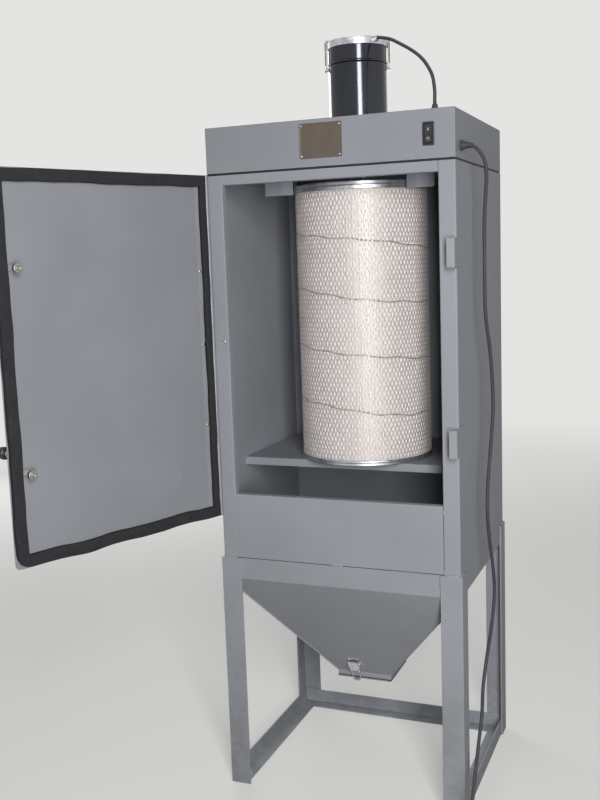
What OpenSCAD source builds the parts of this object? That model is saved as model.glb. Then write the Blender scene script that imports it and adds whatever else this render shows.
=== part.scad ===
// Cartridge dust collector cabinet on an angle-iron stand, with its door open.
// Origin: on the floor, under the middle of the rear base rail. X to the right, Y to the back, Z up.

/* [Cabinet] */
// Width of the cabinet body
cabinet_w = 584; // [500:2:800]
// Depth of the cabinet body
cabinet_d = 490; // [440:2:700]
// Height of the cabinet's bottom seam above the floor
seam_z = 583; // [520:1:700]
// Height of the body, from its bottom seam to the top box's gasket
body_h = 907; // [880:1:1000]
// Thickness of the body's sheet steel
sheet_t = 2; // [1.5:0.1:3]
// Width of the folded front posts beside the door opening
post_w = 38; // [25:1:45]
// Height of the head rail over the door opening
head_h = 23; // [18:1:30]
// Height of the lower front panel
lower_panel_h = 158; // [120:1:220]
// Depth of the folded lips round the door opening
lip_d = 18; // [10:1:25]
// Height of the dust inlet's centre above the filter shelf, behind the cartridge
inlet_up = 250; // [150:1:400]
// Outer radius of the dust inlet collar
inlet_r = 63.5; // [40:0.5:65]
// Length of the dust inlet collar behind the back panel
inlet_len = 75; // [40:1:120]
// Width of the inlet's flange on the back panel
inlet_flange = 18; // [10:1:20]

/* [Filter cartridge] */
// Outer radius of the cartridge's end caps
cap_r = 162; // [140:1:165]
// Length of the cartridge over its end caps
filter_h = 664; // [620:1:670]
// Radius over the outer pleats
pleat_r = 156; // [130:1:158]
// Depth of the pleats
pleat_depth = 46; // [30:1:60]
// Number of pleats
pleats = 120; // [60:2:140]
// Height of the folded rim of each end cap
cap_h = 12; // [8:1:16]
// Thickness of the end caps' sheet
cap_t = 1; // [0.8:0.1:2]
// Thickness of the seal over the cartridge
seal_h = 13; // [8:1:16]
// Width of the seal ring
seal_w = 22; // [15:1:30]
// How far the shelf's front lip stands behind the cabinet's front
shelf_back = 140; // [120:1:150]
// Height of the shelf's folded lip
shelf_lip = 19; // [12:1:25]
// Width of the two guides that hang beside the cartridge's top
guide_w = 68; // [50:1:72]
// Height of the guides
guide_h = 34; // [25:1:45]
// Width of the fold that holds each guide to the ceiling
guide_fold = 24; // [15:1:40]
// Distance from the cabinet's middle to the guides' inner edges
guide_x = 141; // [138:1:160]
// How far the guides stand behind the cabinet's front
guide_back = 145; // [120:1:150]
// Width of the guides' inner strip, bent back round the cartridge
guide_wing = 25; // [15:1:35]
// How far that strip leans back
guide_lean = 10; // [4:1:12]

/* [Stand] */
// Width of the legs' angle iron
leg_w = 51; // [38:1:64]
// Thickness of the legs' angle iron
leg_t = 4.8; // [3:0.2:6.4]
// Width of the base rails' angle iron
rail_w = 38; // [25:1:45]
// Thickness of the base rails' angle iron
rail_t = 4; // [3:0.2:6.4]

/* [Hopper] */
// Height of the hopper's upright skirt under the seam
skirt_h = 52; // [40:1:60]
// Height of the hopper's outlet above the floor
outlet_z = 252; // [200:1:300]
// Half the outer width of the square outlet
outlet_half = 70; // [55:1:90]
// Length of the outlet's collar
collar_h = 12; // [8:1:25]
// Thickness of the outlet's seal
outlet_seal_t = 3; // [2:0.5:6]
// Width of the outlet's seal
outlet_seal_w = 10; // [6:1:20]
// Thickness of the outlet cover
cover_t = 3; // [2:0.5:5]

/* [Top box] */
// Height of the top box
box_h = 103; // [96:1:140]
// Thickness of the gasket under the top box
box_gasket_t = 5; // [3:0.5:8]
// Width of that gasket
box_gasket_w = 20; // [12:1:30]
// Width of the nameplate
plate_w = 100; // [60:1:120]
// Height of the nameplate
plate_h = 76; // [40:1:78]
// Height of the nameplate above the top box's lower edge
plate_up = 18; // [8:1:18]
// How far the nameplate's middle is left of the cabinet's
plate_left = 9; // [0:1:60]
// Radius of the motor canister
can_r = 69; // [60:1:80]
// Height of the motor canister over the top box
can_h = 190; // [150:1:230]
// Height of the canister's head
head_ring_h = 14; // [8:1:20]
// Distance of the canister's bead below its head
bead_down = 40; // [30:1:41]
// Width of the clips on the canister
clip_w = 14; // [8:1:20]
// How far the clips reach below the canister's head
clip_down = 55; // [52:1:70]
// Width of the rocker switch's bezel
switch_w = 26; // [18:1:40]
// Height of the rocker switch's bezel
switch_h = 49; // [40:1:60]
// Distance from the cabinet's right side to the switch's centre
switch_in = 57; // [40:1:120]
// Height of the strain relief's centre above the top box's lower edge
gland_up = 27; // [20:1:60]
// How far the strain relief sits behind the cabinet's front
gland_back = 50; // [20:1:200]
// Outer radius of the power cord
cord_r = 4; // [3:0.1:4.5]
// Outer radius of the motor lead
lead_r = 3.8; // [2.5:0.1:4.5]

/* [Door] */
// How far the door stands open in the stored pose, in degrees
door_open = 111.5; // [90:0.5:125]
// How far the door's free edge stays inside the cabinet's right side
door_edge = 28; // [26:1:45]
// Gap between the door's upper edge and the top box
door_under = 3; // [2:0.5:20]
// How far the door's lower edge hangs below the lower panel's top
door_lap = 51; // [30:1:90]
// Thickness of the door panel
door_t = 2; // [1.5:0.1:3]
// Width of the foam gasket
foam_w = 25; // [20:1:30]
// Thickness of the foam gasket
foam_t = 12; // [8:0.5:14]
// Free gap between the foam and the front posts when the door is shut
door_gap = 5; // [5:0.5:8]
// Margin of bare panel outside the foam
foam_inset = 3; // [1:0.5:6]
// Outer radius of the hinge's knuckles
knuckle_r = 4.5; // [4:0.1:5]
// Radius of the hinge pin
pin_r = 2; // [1.5:0.1:2.2]
// Least length of each knuckle
knuckle_l = 25; // [20:1:40]
// Width of the hinge's leaves
leaf_w = 32; // [25:1:40]
// Thickness of the hinge's leaves
leaf_t = 1.5; // [1:0.1:2]

/* [Door latches] */
// Height of the upper latch above the bottom seam
upper_latch_up = 713; // [650:1:800]
// Height of the lower latch above the bottom seam
lower_latch_up = 303; // [250:1:400]
// Distance from the foam's inner edge to the latch shafts' centres
latch_in = 7; // [7:1:30]
// Length of the handle arms from the shafts' centres to the knobs'
handle_l = 52; // [40:1:60]
// How far the handle arms stand up from level with the latches open, in degrees
handle_up = 57.5; // [40:0.5:80]
// Width of the pawls
pawl_w = 16; // [10:1:20]
// Thickness of the pawls
pawl_t = 3; // [2:0.5:4]
// Radius of the latch shafts
shaft_r = 4; // [3:0.1:5]
// Length of the sleeve on the inner side
sleeve_l = 25; // [15:1:32]
// Radius of that sleeve
sleeve_r = 6; // [5.5:0.1:7]
// Radius of the black knobs
knob_r = 14; // [10:1:16]
// Height of the keepers on the cabinet's corner
keeper_h = 62; // [40:1:80]
// Length of the keepers' flange on the cabinet's side
keeper_back = 45; // [30:1:80]
// Width of the keepers' lips
keeper_lip = 18; // [12:1:19]
// Thickness of the keepers' sheet
keeper_t = 2.5; // [2:0.1:4]
// Free gap in front of the pawls when they are turned behind the keepers
pawl_gap = 5; // [5:0.5:8]

/* [Hidden] */

paint = [0.56, 0.59, 0.62];
paint_inside = [0.50, 0.53, 0.57];
zinc = [0.78, 0.79, 0.80];
chrome = [0.86, 0.87, 0.89];
black = [0.09, 0.09, 0.10];
foam_grey = [0.19, 0.19, 0.21];
cream = [0.87, 0.85, 0.79];

half_w = cabinet_w / 2;
half_d = cabinet_d / 2;
mid_y = rail_w / 2 - half_d;
front_y = mid_y - half_d;
back_y = mid_y + half_d;
body_top = seam_z + body_h;
box_z = body_top + box_gasket_t;
box_top = box_z + box_h;
lower_top = seam_z + lower_panel_h;
touch = 0.3;

// Filter stack, hung from the ceiling down to the shelf
ceiling_t = 2.5;
ceiling_down = 10;
ceiling_z = body_top - ceiling_down;
filter_top = ceiling_z - seal_h;
filter_z = filter_top - filter_h;
clean_hole_r = 89;
shelf_front = front_y + shelf_back;
core_r = pleat_r - pleat_depth;
cap_edge = 8;

// Hopper
skirt_z = seam_z - skirt_h;
cover_z = outlet_z - collar_h - outlet_seal_t;
latch_x = -17;
tab_w = 14;
tab_l = 12;

// Door, drawn shut and flat with the pin at the local origin
knuckle_clear = 2;
pin_x = -half_w + knuckle_r - leaf_t;
foam_stand = foam_t + door_gap;
pin_y = front_y - foam_stand + knuckle_r;
door_start = knuckle_r + 0.5;
door_face = -knuckle_r;
door_z = lower_top - door_lap;
door_w = half_w - door_edge - pin_x - door_start;
door_h = box_z - door_under - door_z;
knuckle_gap = 0.4;
knuckle_count = floor(door_h / knuckle_l);
knuckle_pitch = door_h / knuckle_count;

// Latches and keepers
latch_reach = door_start + door_w - foam_inset - foam_w - latch_in;
keeper_front = foam_stand + door_t + 1 + pawl_t + pawl_gap;
upper_latch_z = seam_z + upper_latch_up;
lower_latch_z = seam_z + lower_latch_up;
running = 0.06;
pawl_clear = 5;
pawl_l = half_w - pawl_clear - pin_x - latch_reach;
knob_stem = 8;
knob_h = 18;
nut_r = 9.5;
nut_h = 8;

// Canister
head_z = box_top + can_h;
head_r = can_r + 3;
head_over = 6;
head_dish = 4;
can_wall = 2;
can_foot = 5;
can_foot_t = 3;
can_hole_r = can_r - 10;
bead_r = 3;
clip_turn = 20;
clip_t = 3;
plate_t = 1;
lead_turn = -34;
stub_r = 6;
stub_reach = 9;
lead_start = [(head_r + stub_reach) * cos(lead_turn), mid_y + (head_r + stub_reach) * sin(lead_turn),
    head_z + head_ring_h / 2];
grommet_h = 12;
grommet = [half_w - 50, front_y + 30, box_top + grommet_h];
lead_points = [
    lead_start + 5 * [cos(lead_turn), sin(lead_turn), 0], [107, -310, 1781], [141, -342, 1761],
    [180, -381, 1735], [207, -407, 1712], [226, -426, 1688], [237, -436, 1667], [242, -441, 1640],
    grommet + [0, 0, 12]
];

// Power cord, from the strain relief down beside the right side to its coil on the floor
gland_l = 13;
gland_r = 9;
gland_flange_r = 11.5;
gland_flange_t = 6;
gland_hole_r = 8;
gland_face = [half_w + gland_l, front_y + gland_back, box_z + gland_up];
boot_turn = 25;
boot_r = 7.4;
boot_tip_r = 5.4;
cord_bend = 32;
cord_sweep = 62;
function bend_at(a) = gland_face + cord_bend * [sin(min(a, 45)), 0, cos(min(a, 45)) - 1]
    + cord_sweep * [sin(max(a, 45)) - sin(45), 0, cos(max(a, 45)) - cos(45)];
gland_end = bend_at(boot_turn) - 3 * [cos(boot_turn), 0, -sin(boot_turn)];
cord_bend_end = bend_at(90);
cord_points = [
    cord_bend_end, [346, -417, 1452], [342, -411, 1408], [338, -405, 1355], [337, -402, 1290],
    [337, -403, 1220], [338, -399, 1155], [341, -370, 1075], [342, -352, 1005], [342, -348, 940],
    [340, -362, 870], [338, -386, 795], [337, -396, 728], [338, -383, 655], [340, -356, 583],
    [341, -343, 510], [339, -369, 438], [336, -412, 378], [333, -441, 318], [332, -453, 258],
    [331, -488, 200], [331, -527, 146], [333, -567, 91], [345, -601, 43], [357, -615, 23],
    [378, -625, 9], [404, -628.2, 4.2]
];
coil_x = 404;
coil_y = -678.4;
coil_r = 46;
strand = cord_r + 0.2;
plug_r = 14;
plug_out = 28.6;
plug_tail = 14;

// Leg of equal angle iron, its corner at the origin, flanges along +X and +Y
module angle_leg(h) {
    linear_extrude(h) difference() {
        square([leg_w, leg_w]);
        translate([leg_t, leg_t]) square([leg_w, leg_w]);
    }
}

// Leg at a corner: sx and sy are the signs of the corner's X and Y
module leg(sx, sy) {
    color(paint) translate([sx * (half_w + leg_t), mid_y + sy * (half_d + leg_t), 0])
        mirror([sx > 0 ? 1 : 0, 0, 0]) mirror([0, sy > 0 ? 1 : 0, 0]) angle_leg(seam_z);
}

module leg_front_left() { leg(-1, -1); }
module leg_front_right() { leg(1, -1); }
module leg_rear_left() { leg(-1, 1); }
module leg_rear_right() { leg(1, 1); }

// Side base rail inside the legs, its flat flange on the floor and coped for the rear rail
module side_rail(side) {
    color(paint) mirror([side > 0 ? 1 : 0, 0, 0]) {
        translate([-half_w, front_y, 0]) cube([rail_w, cabinet_d - rail_w, rail_t]);
        translate([-half_w, front_y, 0]) cube([rail_t, cabinet_d - rail_t, rail_w]);
    }
}

module base_rail_left() { side_rail(-1); }
module base_rail_right() { side_rail(1); }

module base_rail_rear() {
    color(paint) {
        translate([-half_w + rail_t, back_y - rail_w, 0]) cube([cabinet_w - 2 * rail_t, rail_w, rail_t]);
        translate([-half_w, back_y - rail_t, 0]) cube([cabinet_w, rail_t, rail_w]);
    }
}

// Side wall folded round the front corner into a post, with a lip at the door opening
module side_panel(side) {
    color(paint) mirror([side > 0 ? 1 : 0, 0, 0]) translate([-half_w, front_y, seam_z])
        linear_extrude(body_h) union() {
            square([sheet_t, cabinet_d]);
            square([post_w, sheet_t]);
            translate([post_w - sheet_t, 0]) square([sheet_t, lip_d]);
        }
}

module side_panel_left() { side_panel(-1); }
module side_panel_right() { side_panel(1); }

module back_panel() {
    inner = half_w - sheet_t;
    color(paint) difference() {
        translate([-inner, back_y - sheet_t, seam_z]) cube([2 * inner, sheet_t, body_h]);
        translate([0, back_y + 1, filter_z + inlet_up]) rotate([90, 0, 0])
            cylinder(r = inlet_r - sheet_t, h = sheet_t + 2, $fn = 72);
    }
}

// Dust inlet: a short tube for a hose, with a flat flange against the back panel
module inlet_collar() {
    color(paint) translate([0, back_y, filter_z + inlet_up]) rotate([-90, 0, 0]) difference() {
        union() {
            cylinder(r = inlet_r + inlet_flange, h = sheet_t, $fn = 72);
            cylinder(r = inlet_r, h = inlet_len, $fn = 72);
        }
        translate([0, 0, -1]) cylinder(r = inlet_r - sheet_t, h = inlet_len + 2, $fn = 72);
    }
}

// Rail across the top of the door opening, with a folded lower lip
module head_rail() {
    span = cabinet_w - 2 * post_w;
    color(paint) translate([-span / 2, front_y, body_top - head_h]) {
        cube([span, sheet_t, head_h]);
        cube([span, lip_d, sheet_t]);
    }
}

// Fixed panel under the door opening, with a folded upper lip
module lower_front_panel() {
    span = cabinet_w - 2 * post_w;
    color(paint) translate([-span / 2, front_y, seam_z]) {
        cube([span, sheet_t, lower_panel_h]);
        translate([0, 0, lower_panel_h - sheet_t]) cube([span, lip_d, sheet_t]);
    }
}

// Ceiling of the filter chamber, with the clean-air hole over the cartridge
module ceiling_panel() {
    inner_w = cabinet_w - 2 * sheet_t;
    inner_d = cabinet_d - 2 * sheet_t;
    color(paint_inside) difference() {
        translate([-inner_w / 2, front_y + sheet_t, ceiling_z]) cube([inner_w, inner_d, ceiling_t]);
        translate([0, mid_y, ceiling_z - 1]) cylinder(r = clean_hole_r, h = ceiling_t + 2, $fn = 96);
        for (side = [-1, 1])
            translate([side * (half_w - post_w / 2), front_y + lip_d / 2, ceiling_z + ceiling_t / 2])
                cube([post_w + 2 * touch, lip_d + 2 * touch, ceiling_t + 2], center = true);
    }
}

// Shelf from wall to wall under the cartridge, folded down at the front
module shelf() {
    inner_w = cabinet_w - 2 * sheet_t;
    color(paint_inside) translate([-inner_w / 2, shelf_front, filter_z - sheet_t]) {
        cube([inner_w, back_y - sheet_t - shelf_front, sheet_t]);
        translate([0, 0, sheet_t - shelf_lip]) cube([inner_w, sheet_t, shelf_lip]);
    }
}

// Plate that hangs from the ceiling beside the cartridge's top, its inner strip bent back
module guide(side) {
    flat = guide_w - guide_wing;
    color(paint_inside) mirror([side > 0 ? 1 : 0, 0, 0])
        translate([-guide_x - guide_w, front_y + guide_back, ceiling_z - guide_h]) {
            linear_extrude(guide_h) polygon([
                [0, 0], [flat, 0], [guide_w, guide_lean], [guide_w, guide_lean + sheet_t],
                [flat, sheet_t], [0, sheet_t]
            ]);
            translate([0, 0, guide_h - sheet_t]) cube([flat, guide_fold, sheet_t]);
        }
}

module guide_left() { guide(-1); }
module guide_right() { guide(1); }

// Hopper plate seen from the side: an upright skirt, then the slope down to the outlet
module hopper_profile(half, span) {
    rotate([90, 0, 90]) translate([0, 0, -span / 2]) linear_extrude(span) polygon([
        [-half, seam_z], [-half + sheet_t, seam_z], [-half + sheet_t, skirt_z],
        [-outlet_half + sheet_t, outlet_z], [-outlet_half, outlet_z], [-half, skirt_z]
    ]);
}

// What a pair of hopper plates leaves between its sides, seen from the front
module hopper_cut(half, depth, inset) {
    rotate([90, 0, 0]) translate([0, 0, -depth / 2]) linear_extrude(depth) polygon([
        [-half + inset, seam_z + 1], [half - inset, seam_z + 1], [half - inset, skirt_z],
        [outlet_half - inset, outlet_z], [outlet_half - inset, outlet_z - 1],
        [-outlet_half + inset, outlet_z - 1], [-outlet_half + inset, outlet_z], [-half + inset, skirt_z]
    ]);
}

module hopper_front() {
    color(paint) translate([0, mid_y, 0]) intersection() {
        hopper_profile(half_d, cabinet_w);
        hopper_cut(half_w, cabinet_d + 2, 0);
    }
}

module hopper_rear() { translate([0, 2 * mid_y, 0]) mirror([0, 1, 0]) hopper_front(); }

module hopper_left() {
    color(paint) translate([0, mid_y, 0]) intersection() {
        rotate([0, 0, -90]) hopper_profile(half_w, cabinet_d);
        rotate([0, 0, 90]) hopper_cut(half_d, cabinet_w + 2, sheet_t);
    }
}

module hopper_right() { mirror([1, 0, 0]) hopper_left(); }

// Square ring of the outlet, from its outer half width, wall and height
module square_ring(half, wall, h) {
    linear_extrude(h) difference() {
        square(2 * half, center = true);
        square(2 * (half - wall), center = true);
    }
}

module outlet_collar() {
    color(paint) translate([0, mid_y, outlet_z - collar_h]) square_ring(outlet_half, sheet_t, collar_h);
}

module outlet_seal() {
    color(black) translate([0, mid_y, cover_z]) square_ring(outlet_half, outlet_seal_w, outlet_seal_t);
}

// Cover of the outlet, with a tab in front for the latch
module outlet_cover() {
    color(paint) translate([0, mid_y, cover_z - cover_t]) {
        translate([-outlet_half, -outlet_half, 0]) cube([2 * outlet_half, 2 * outlet_half, cover_t]);
        translate([latch_x - tab_w / 2, -outlet_half - tab_l, 0]) cube([tab_w, tab_l, cover_t]);
    }
}

// Draw latch on the hopper's front slope: base plate, toggle and wire bail round the cover's tab
module outlet_latch() {
    slope = atan2(half_d - outlet_half, skirt_z - outlet_z);
    wire = 1.25;
    bail_w = 20;
    bail_foot = [0, -outlet_half - tab_l + 3, cover_z - cover_t - wire];
    color(chrome) translate([latch_x, mid_y, 0]) {
        translate([0, -outlet_half, outlet_z]) rotate([slope, 0, 0]) {
            translate([-15, -2, 16]) cube([30, 2, 40]);
            translate([-15, -12, 20]) cube([2, 10.5, 30]);
            translate([13, -12, 20]) cube([2, 10.5, 30]);
            translate([-13.5, -13, 18]) cube([27, 2, 36]);
        }
        for (side = [-1, 1]) translate([side * bail_w / 2, 0, 0]) hull() {
            translate([0, -outlet_half, outlet_z]) rotate([slope, 0, 0]) translate([0, -12, 20])
                sphere(r = wire, $fn = 12);
            translate(bail_foot) sphere(r = wire, $fn = 12);
        }
        translate(bail_foot - [bail_w / 2, 0, 0]) rotate([0, 90, 0]) cylinder(r = wire, h = bail_w, $fn = 16);
    }
}

// Pleated ring of filter paper
module filter_media() {
    color(cream) translate([0, mid_y, filter_z + cap_t]) linear_extrude(filter_h - 2 * cap_t) difference() {
        polygon([for (i = [0:2 * pleats - 1])
            (i % 2 == 0 ? pleat_r : pleat_r - 5) * [cos(180 * i / pleats), sin(180 * i / pleats)]]);
        polygon([for (i = [0:2 * pleats - 1])
            (i % 2 == 0 ? core_r : core_r + 3) * [cos(180 * i / pleats), sin(180 * i / pleats)]]);
    }
}

// End cap: a flat disc with a folded rim round the pleats, its hole closed when hole is 0
module end_cap(hole) {
    rotate_extrude($fn = 96) union() {
        translate([hole, 0]) square([cap_r - hole, cap_t]);
        translate([cap_r - cap_t, 0]) square([cap_t, cap_h]);
    }
}

module filter_bottom_cap() { color(zinc) translate([0, mid_y, filter_z]) end_cap(0); }

module filter_top_cap() {
    color(zinc) translate([0, mid_y, filter_top]) mirror([0, 0, 1]) end_cap(core_r - cap_edge);
}

module filter_seal() {
    color(black) translate([0, mid_y, filter_top]) difference() {
        cylinder(r = cap_r - cap_edge, h = seal_h, $fn = 96);
        translate([0, 0, -1]) cylinder(r = cap_r - cap_edge - seal_w, h = seal_h + 2, $fn = 96);
    }
}

// Top box: a folded cover with an open bottom over the clean-air space
module top_box() {
    color(paint) difference() {
        translate([-half_w, front_y, box_z]) cube([cabinet_w, cabinet_d, box_h]);
        translate([-half_w + sheet_t, front_y + sheet_t, box_z - 1])
            cube([cabinet_w - 2 * sheet_t, cabinet_d - 2 * sheet_t, box_h - sheet_t + 1]);
        translate([0, mid_y, box_top - sheet_t - 1]) cylinder(r = can_hole_r, h = sheet_t + 2, $fn = 96);
        translate([half_w - sheet_t - 1, gland_face.y, gland_face.z]) rotate([0, 90, 0])
            cylinder(r = gland_hole_r, h = sheet_t + 2, $fn = 48);
    }
}

module top_box_gasket() {
    color(black) translate([0, mid_y, body_top]) linear_extrude(box_gasket_t) difference() {
        square([cabinet_w - 2, cabinet_d - 2], center = true);
        square([cabinet_w - 2 - 2 * box_gasket_w, cabinet_d - 2 - 2 * box_gasket_w], center = true);
    }
}

module nameplate() {
    color([0.45, 0.41, 0.37]) translate([-plate_w / 2 - plate_left, front_y - plate_t, box_z + plate_up])
        cube([plate_w, plate_t, plate_h]);
}

// Switch: a bezel and the rocker, a segment of a drum with its front scooped
module rocker_switch() {
    drum_r = switch_h * 0.39;
    proud = 3;
    color(black) translate([half_w - switch_in, front_y, box_z + box_h / 2]) {
        translate([-switch_w / 2, -proud, -switch_h / 2]) cube([switch_w, proud, switch_h]);
        translate([0, -proud, 0]) rotate([0, 90, 0]) intersection() {
            translate([0, 0, -switch_w * 0.35]) cylinder(r = drum_r, h = switch_w * 0.7, $fn = 48);
            translate([-drum_r, -drum_r * 0.45, -switch_w]) cube([2 * drum_r, drum_r * 0.45, 2 * switch_w]);
        }
    }
}

// Chrome tube of the motor: a foot flange and a swaged bead near the top
module motor_canister() {
    color(chrome) translate([0, mid_y, box_top]) rotate_extrude($fn = 96) difference() {
        union() {
            square([can_r, can_h]);
            square([can_r + can_foot, can_foot_t]);
            translate([can_r - 1, can_h - bead_down]) circle(r = bead_r, $fn = 24);
        }
        translate([-1, can_foot_t]) square([can_r - can_wall + 1, can_h]);
    }
}

// Head of the canister: a dished lid with a rolled edge and the stub that the motor lead leaves by
module canister_head() {
    color(zinc) translate([0, mid_y, head_z]) {
        rotate_extrude($fn = 96) polygon([
            [0, 0], [head_r - 1, 0], [head_r, 1], [head_r, head_ring_h - 3], [head_r - 3, head_ring_h],
            [head_r - 3 - head_over, head_ring_h], [head_r - 7 - head_over, head_ring_h - head_dish],
            [0, head_ring_h - head_dish]
        ]);
        rotate(lead_turn) translate([head_r - 12, 0, head_ring_h / 2]) rotate([0, 90, 0])
            cylinder(r = stub_r, h = 12 + stub_reach, $fn = 32);
    }
}

// Two clips that hook over the head's edge, each with its lever's curl at the foot
module canister_clips() {
    out = head_r - can_r + touch;
    color(chrome) for (turn = [clip_turn, clip_turn + 180])
        translate([0, mid_y, head_z]) rotate(turn) translate([can_r, clip_w / 2, 0]) rotate([90, 0, 0])
            linear_extrude(clip_w) polygon([
                [touch, -clip_down + 8], [out, -clip_down + 8], [out, head_ring_h + touch],
                [-head_over, head_ring_h + touch], [-head_over, head_ring_h + touch + clip_t],
                [out + clip_t, head_ring_h + touch + clip_t], [out + clip_t, 2 - clip_down],
                [out + clip_t + 4, -clip_down - 5], [out + clip_t + 4, -clip_down - 9],
                [out + clip_t, -clip_down - 4], [touch, -clip_down]
            ]);
}

// Strip of hinge knuckles, every second one, starting with the given one
module knuckles(first) {
    for (i = [first:2:knuckle_count - 1])
        translate([0, 0, door_z + i * knuckle_pitch + knuckle_gap / 2]) difference() {
            cylinder(r = knuckle_r, h = knuckle_pitch - knuckle_gap, $fn = 32);
            translate([0, 0, -1]) cylinder(r = pin_r + running, h = knuckle_pitch + 2, $fn = 32);
        }
}

// Space that the other leaf's knuckles turn in
module knuckle_room(first) {
    for (i = [first:2:knuckle_count - 1])
        translate([0, 0, door_z + i * knuckle_pitch - knuckle_gap / 2])
            cylinder(r = knuckle_r + knuckle_clear, h = knuckle_pitch + knuckle_gap, $fn = 32);
}

// Fixed leaf, wrapped on the cabinet's left side behind the pin
module hinge_leaf_fixed() {
    color(paint) translate([pin_x, pin_y, 0]) {
        knuckles(0);
        difference() {
            translate([-knuckle_r, 0, door_z]) cube([leaf_t, leaf_w, door_h]);
            cylinder(r = pin_r + 1, h = body_top, $fn = 32);
            knuckle_room(1);
        }
    }
}

module hinge_pin() {
    color(chrome) translate([pin_x, pin_y, door_z]) cylinder(r = pin_r, h = door_h, $fn = 32);
}

// Turns what is drawn with the door shut into its stored pose
module on_door() {
    translate([pin_x, pin_y, 0]) rotate(-door_open) children();
}

module hinge_leaf_door() {
    color(paint) on_door() {
        knuckles(1);
        difference() {
            translate([0, door_face, door_z]) cube([leaf_w, leaf_t, door_h]);
            knuckle_room(0);
            cylinder(r = pin_r + 1, h = body_top, $fn = 32);
        }
    }
}

// Door panel with the holes of the two latch shafts
module door_panel() {
    color(paint) on_door() difference() {
        translate([door_start, door_face - door_t, door_z]) cube([door_w, door_t, door_h]);
        for (z = [upper_latch_z, lower_latch_z])
            translate([latch_reach, door_face - door_t - 1, z]) rotate([-90, 0, 0])
                cylinder(r = shaft_r + running, h = door_t + 2, $fn = 32);
    }
}

// Foam strip round the door's inner face, rebated over the hinge leaf
module door_foam() {
    color(foam_grey) on_door() difference() {
        translate([door_start + foam_inset, door_face, door_z + foam_inset])
            cube([door_w - 2 * foam_inset, foam_t, door_h - 2 * foam_inset]);
        translate([door_start + foam_inset + foam_w, door_face - 1, door_z + foam_inset + foam_w])
            cube([door_w - 2 * (foam_inset + foam_w), foam_t + 2, door_h - 2 * (foam_inset + foam_w)]);
        translate([0, door_face - 1, door_z - 1]) cube([leaf_w + touch, leaf_t + 1, door_h + 2]);
    }
}

// Latch: shaft, sleeve and round nut inside; outside the pawl, down when open, and the handle arm
module latch(z) {
    color(chrome) on_door() translate([latch_reach, door_face, z]) rotate([-90, 0, 0]) {
        translate([0, 0, -door_t - 1 - pawl_t]) cylinder(r = shaft_r, h = door_t + 2 + pawl_t, $fn = 32);
        translate([0, 0, touch]) cylinder(r = sleeve_r, h = sleeve_l, $fn = 32);
        translate([0, 0, touch + sleeve_l]) cylinder(r = nut_r, h = nut_h, $fn = 48);
        translate([0, 0, -door_t - 1 - pawl_t]) linear_extrude(pawl_t) union() {
            circle(r = pawl_w / 2 + 2, $fn = 48);
            translate([-pawl_w / 2, 0]) square([pawl_w, pawl_l]);
            rotate(-handle_up) translate([0, -pawl_w / 2]) square([handle_l, pawl_w]);
            rotate(-handle_up) translate([handle_l, 0]) circle(r = pawl_w / 2, $fn = 48);
        }
    }
}

module latch_upper() { latch(upper_latch_z); }
module latch_lower() { latch(lower_latch_z); }

// Knob on the end of a latch's handle arm
module knob(z) {
    reach = [handle_l * cos(handle_up), 0, handle_l * sin(handle_up)];
    color(black) on_door() translate([latch_reach, door_face - door_t - 1 - pawl_t, z] + reach)
        rotate([90, 0, 0]) rotate_extrude($fn = 48) polygon([
            [0, 0], [7, 0], [6, knob_stem], [knob_r - 3, knob_stem], [knob_r, knob_stem + 4],
            [knob_r, knob_stem + knob_h - 4], [knob_r - 4, knob_stem + knob_h], [0, knob_stem + knob_h]
        ]);
}

module knob_upper() { knob(upper_latch_z); }
module knob_lower() { knob(lower_latch_z); }

// Keeper: plate on the right side, folded forward and in to hook the pawl
module keeper(z) {
    lip_y = front_y - keeper_front - keeper_t;
    color(paint) translate([0, 0, z - keeper_h / 2]) linear_extrude(keeper_h) union() {
        translate([half_w, lip_y]) square([keeper_t, keeper_front + keeper_t + keeper_back]);
        translate([half_w + keeper_t - keeper_lip, lip_y]) square([keeper_lip, keeper_t]);
    }
}

module keeper_upper() { keeper(upper_latch_z); }
module keeper_lower() { keeper(lower_latch_z); }

// Points of a smooth curve through a list of points, about one pitch apart
function curve(p, pitch) = let (n = len(p)) concat(
    [for (i = [0:n - 2])
        let (steps = max(1, round(norm(p[i + 1] - p[i]) / pitch)))
        for (k = [0:steps - 1])
            let (
                t = k / steps,
                a = p[max(i - 1, 0)],
                b = p[i],
                c = p[i + 1],
                d = p[min(i + 2, n - 1)]
            )
            0.5 * (2 * b + (c - a) * t + (2 * a - 5 * b + 4 * c - d) * t * t
                + (3 * b - a - 3 * c + d) * t * t * t)],
    [p[n - 1]]);

function unit(v) = v / norm(v);
function side_of(v) = unit(cross(v, abs(v.z) > 0.8 * norm(v) ? [1, 0, 0] : [0, 0, 1]));
function heading(q, i) = unit(q[min(i + 1, len(q) - 1)] - q[max(i - 1, 0)]);

// Cross directions carried along the curve without twist
function carried(q, i, s) = i >= len(q) ? [] :
    let (w = unit(s - (s * heading(q, i)) * heading(q, i))) concat([w], carried(q, i + 1, w));

// Round tube along a list of points
module tube(q, r, sides) {
    s = carried(q, 0, side_of(heading(q, 0)));
    n = len(q);
    points = [for (i = [0:n - 1]) for (k = [0:sides - 1]) let (a = 360 * k / sides)
        q[i] + r * (cos(a) * s[i] + sin(a) * cross(heading(q, i), s[i]))];
    walls = [for (i = [0:n - 2]) for (k = [0:sides - 1]) let (m = (k + 1) % sides)
        [i * sides + k, (i + 1) * sides + k, (i + 1) * sides + m, i * sides + m]];
    first = [for (k = [0:sides - 1]) k];
    last = [for (k = [sides - 1:-1:0]) (n - 1) * sides + k];
    polyhedron(points, concat(walls, [first], [last]));
}

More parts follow.
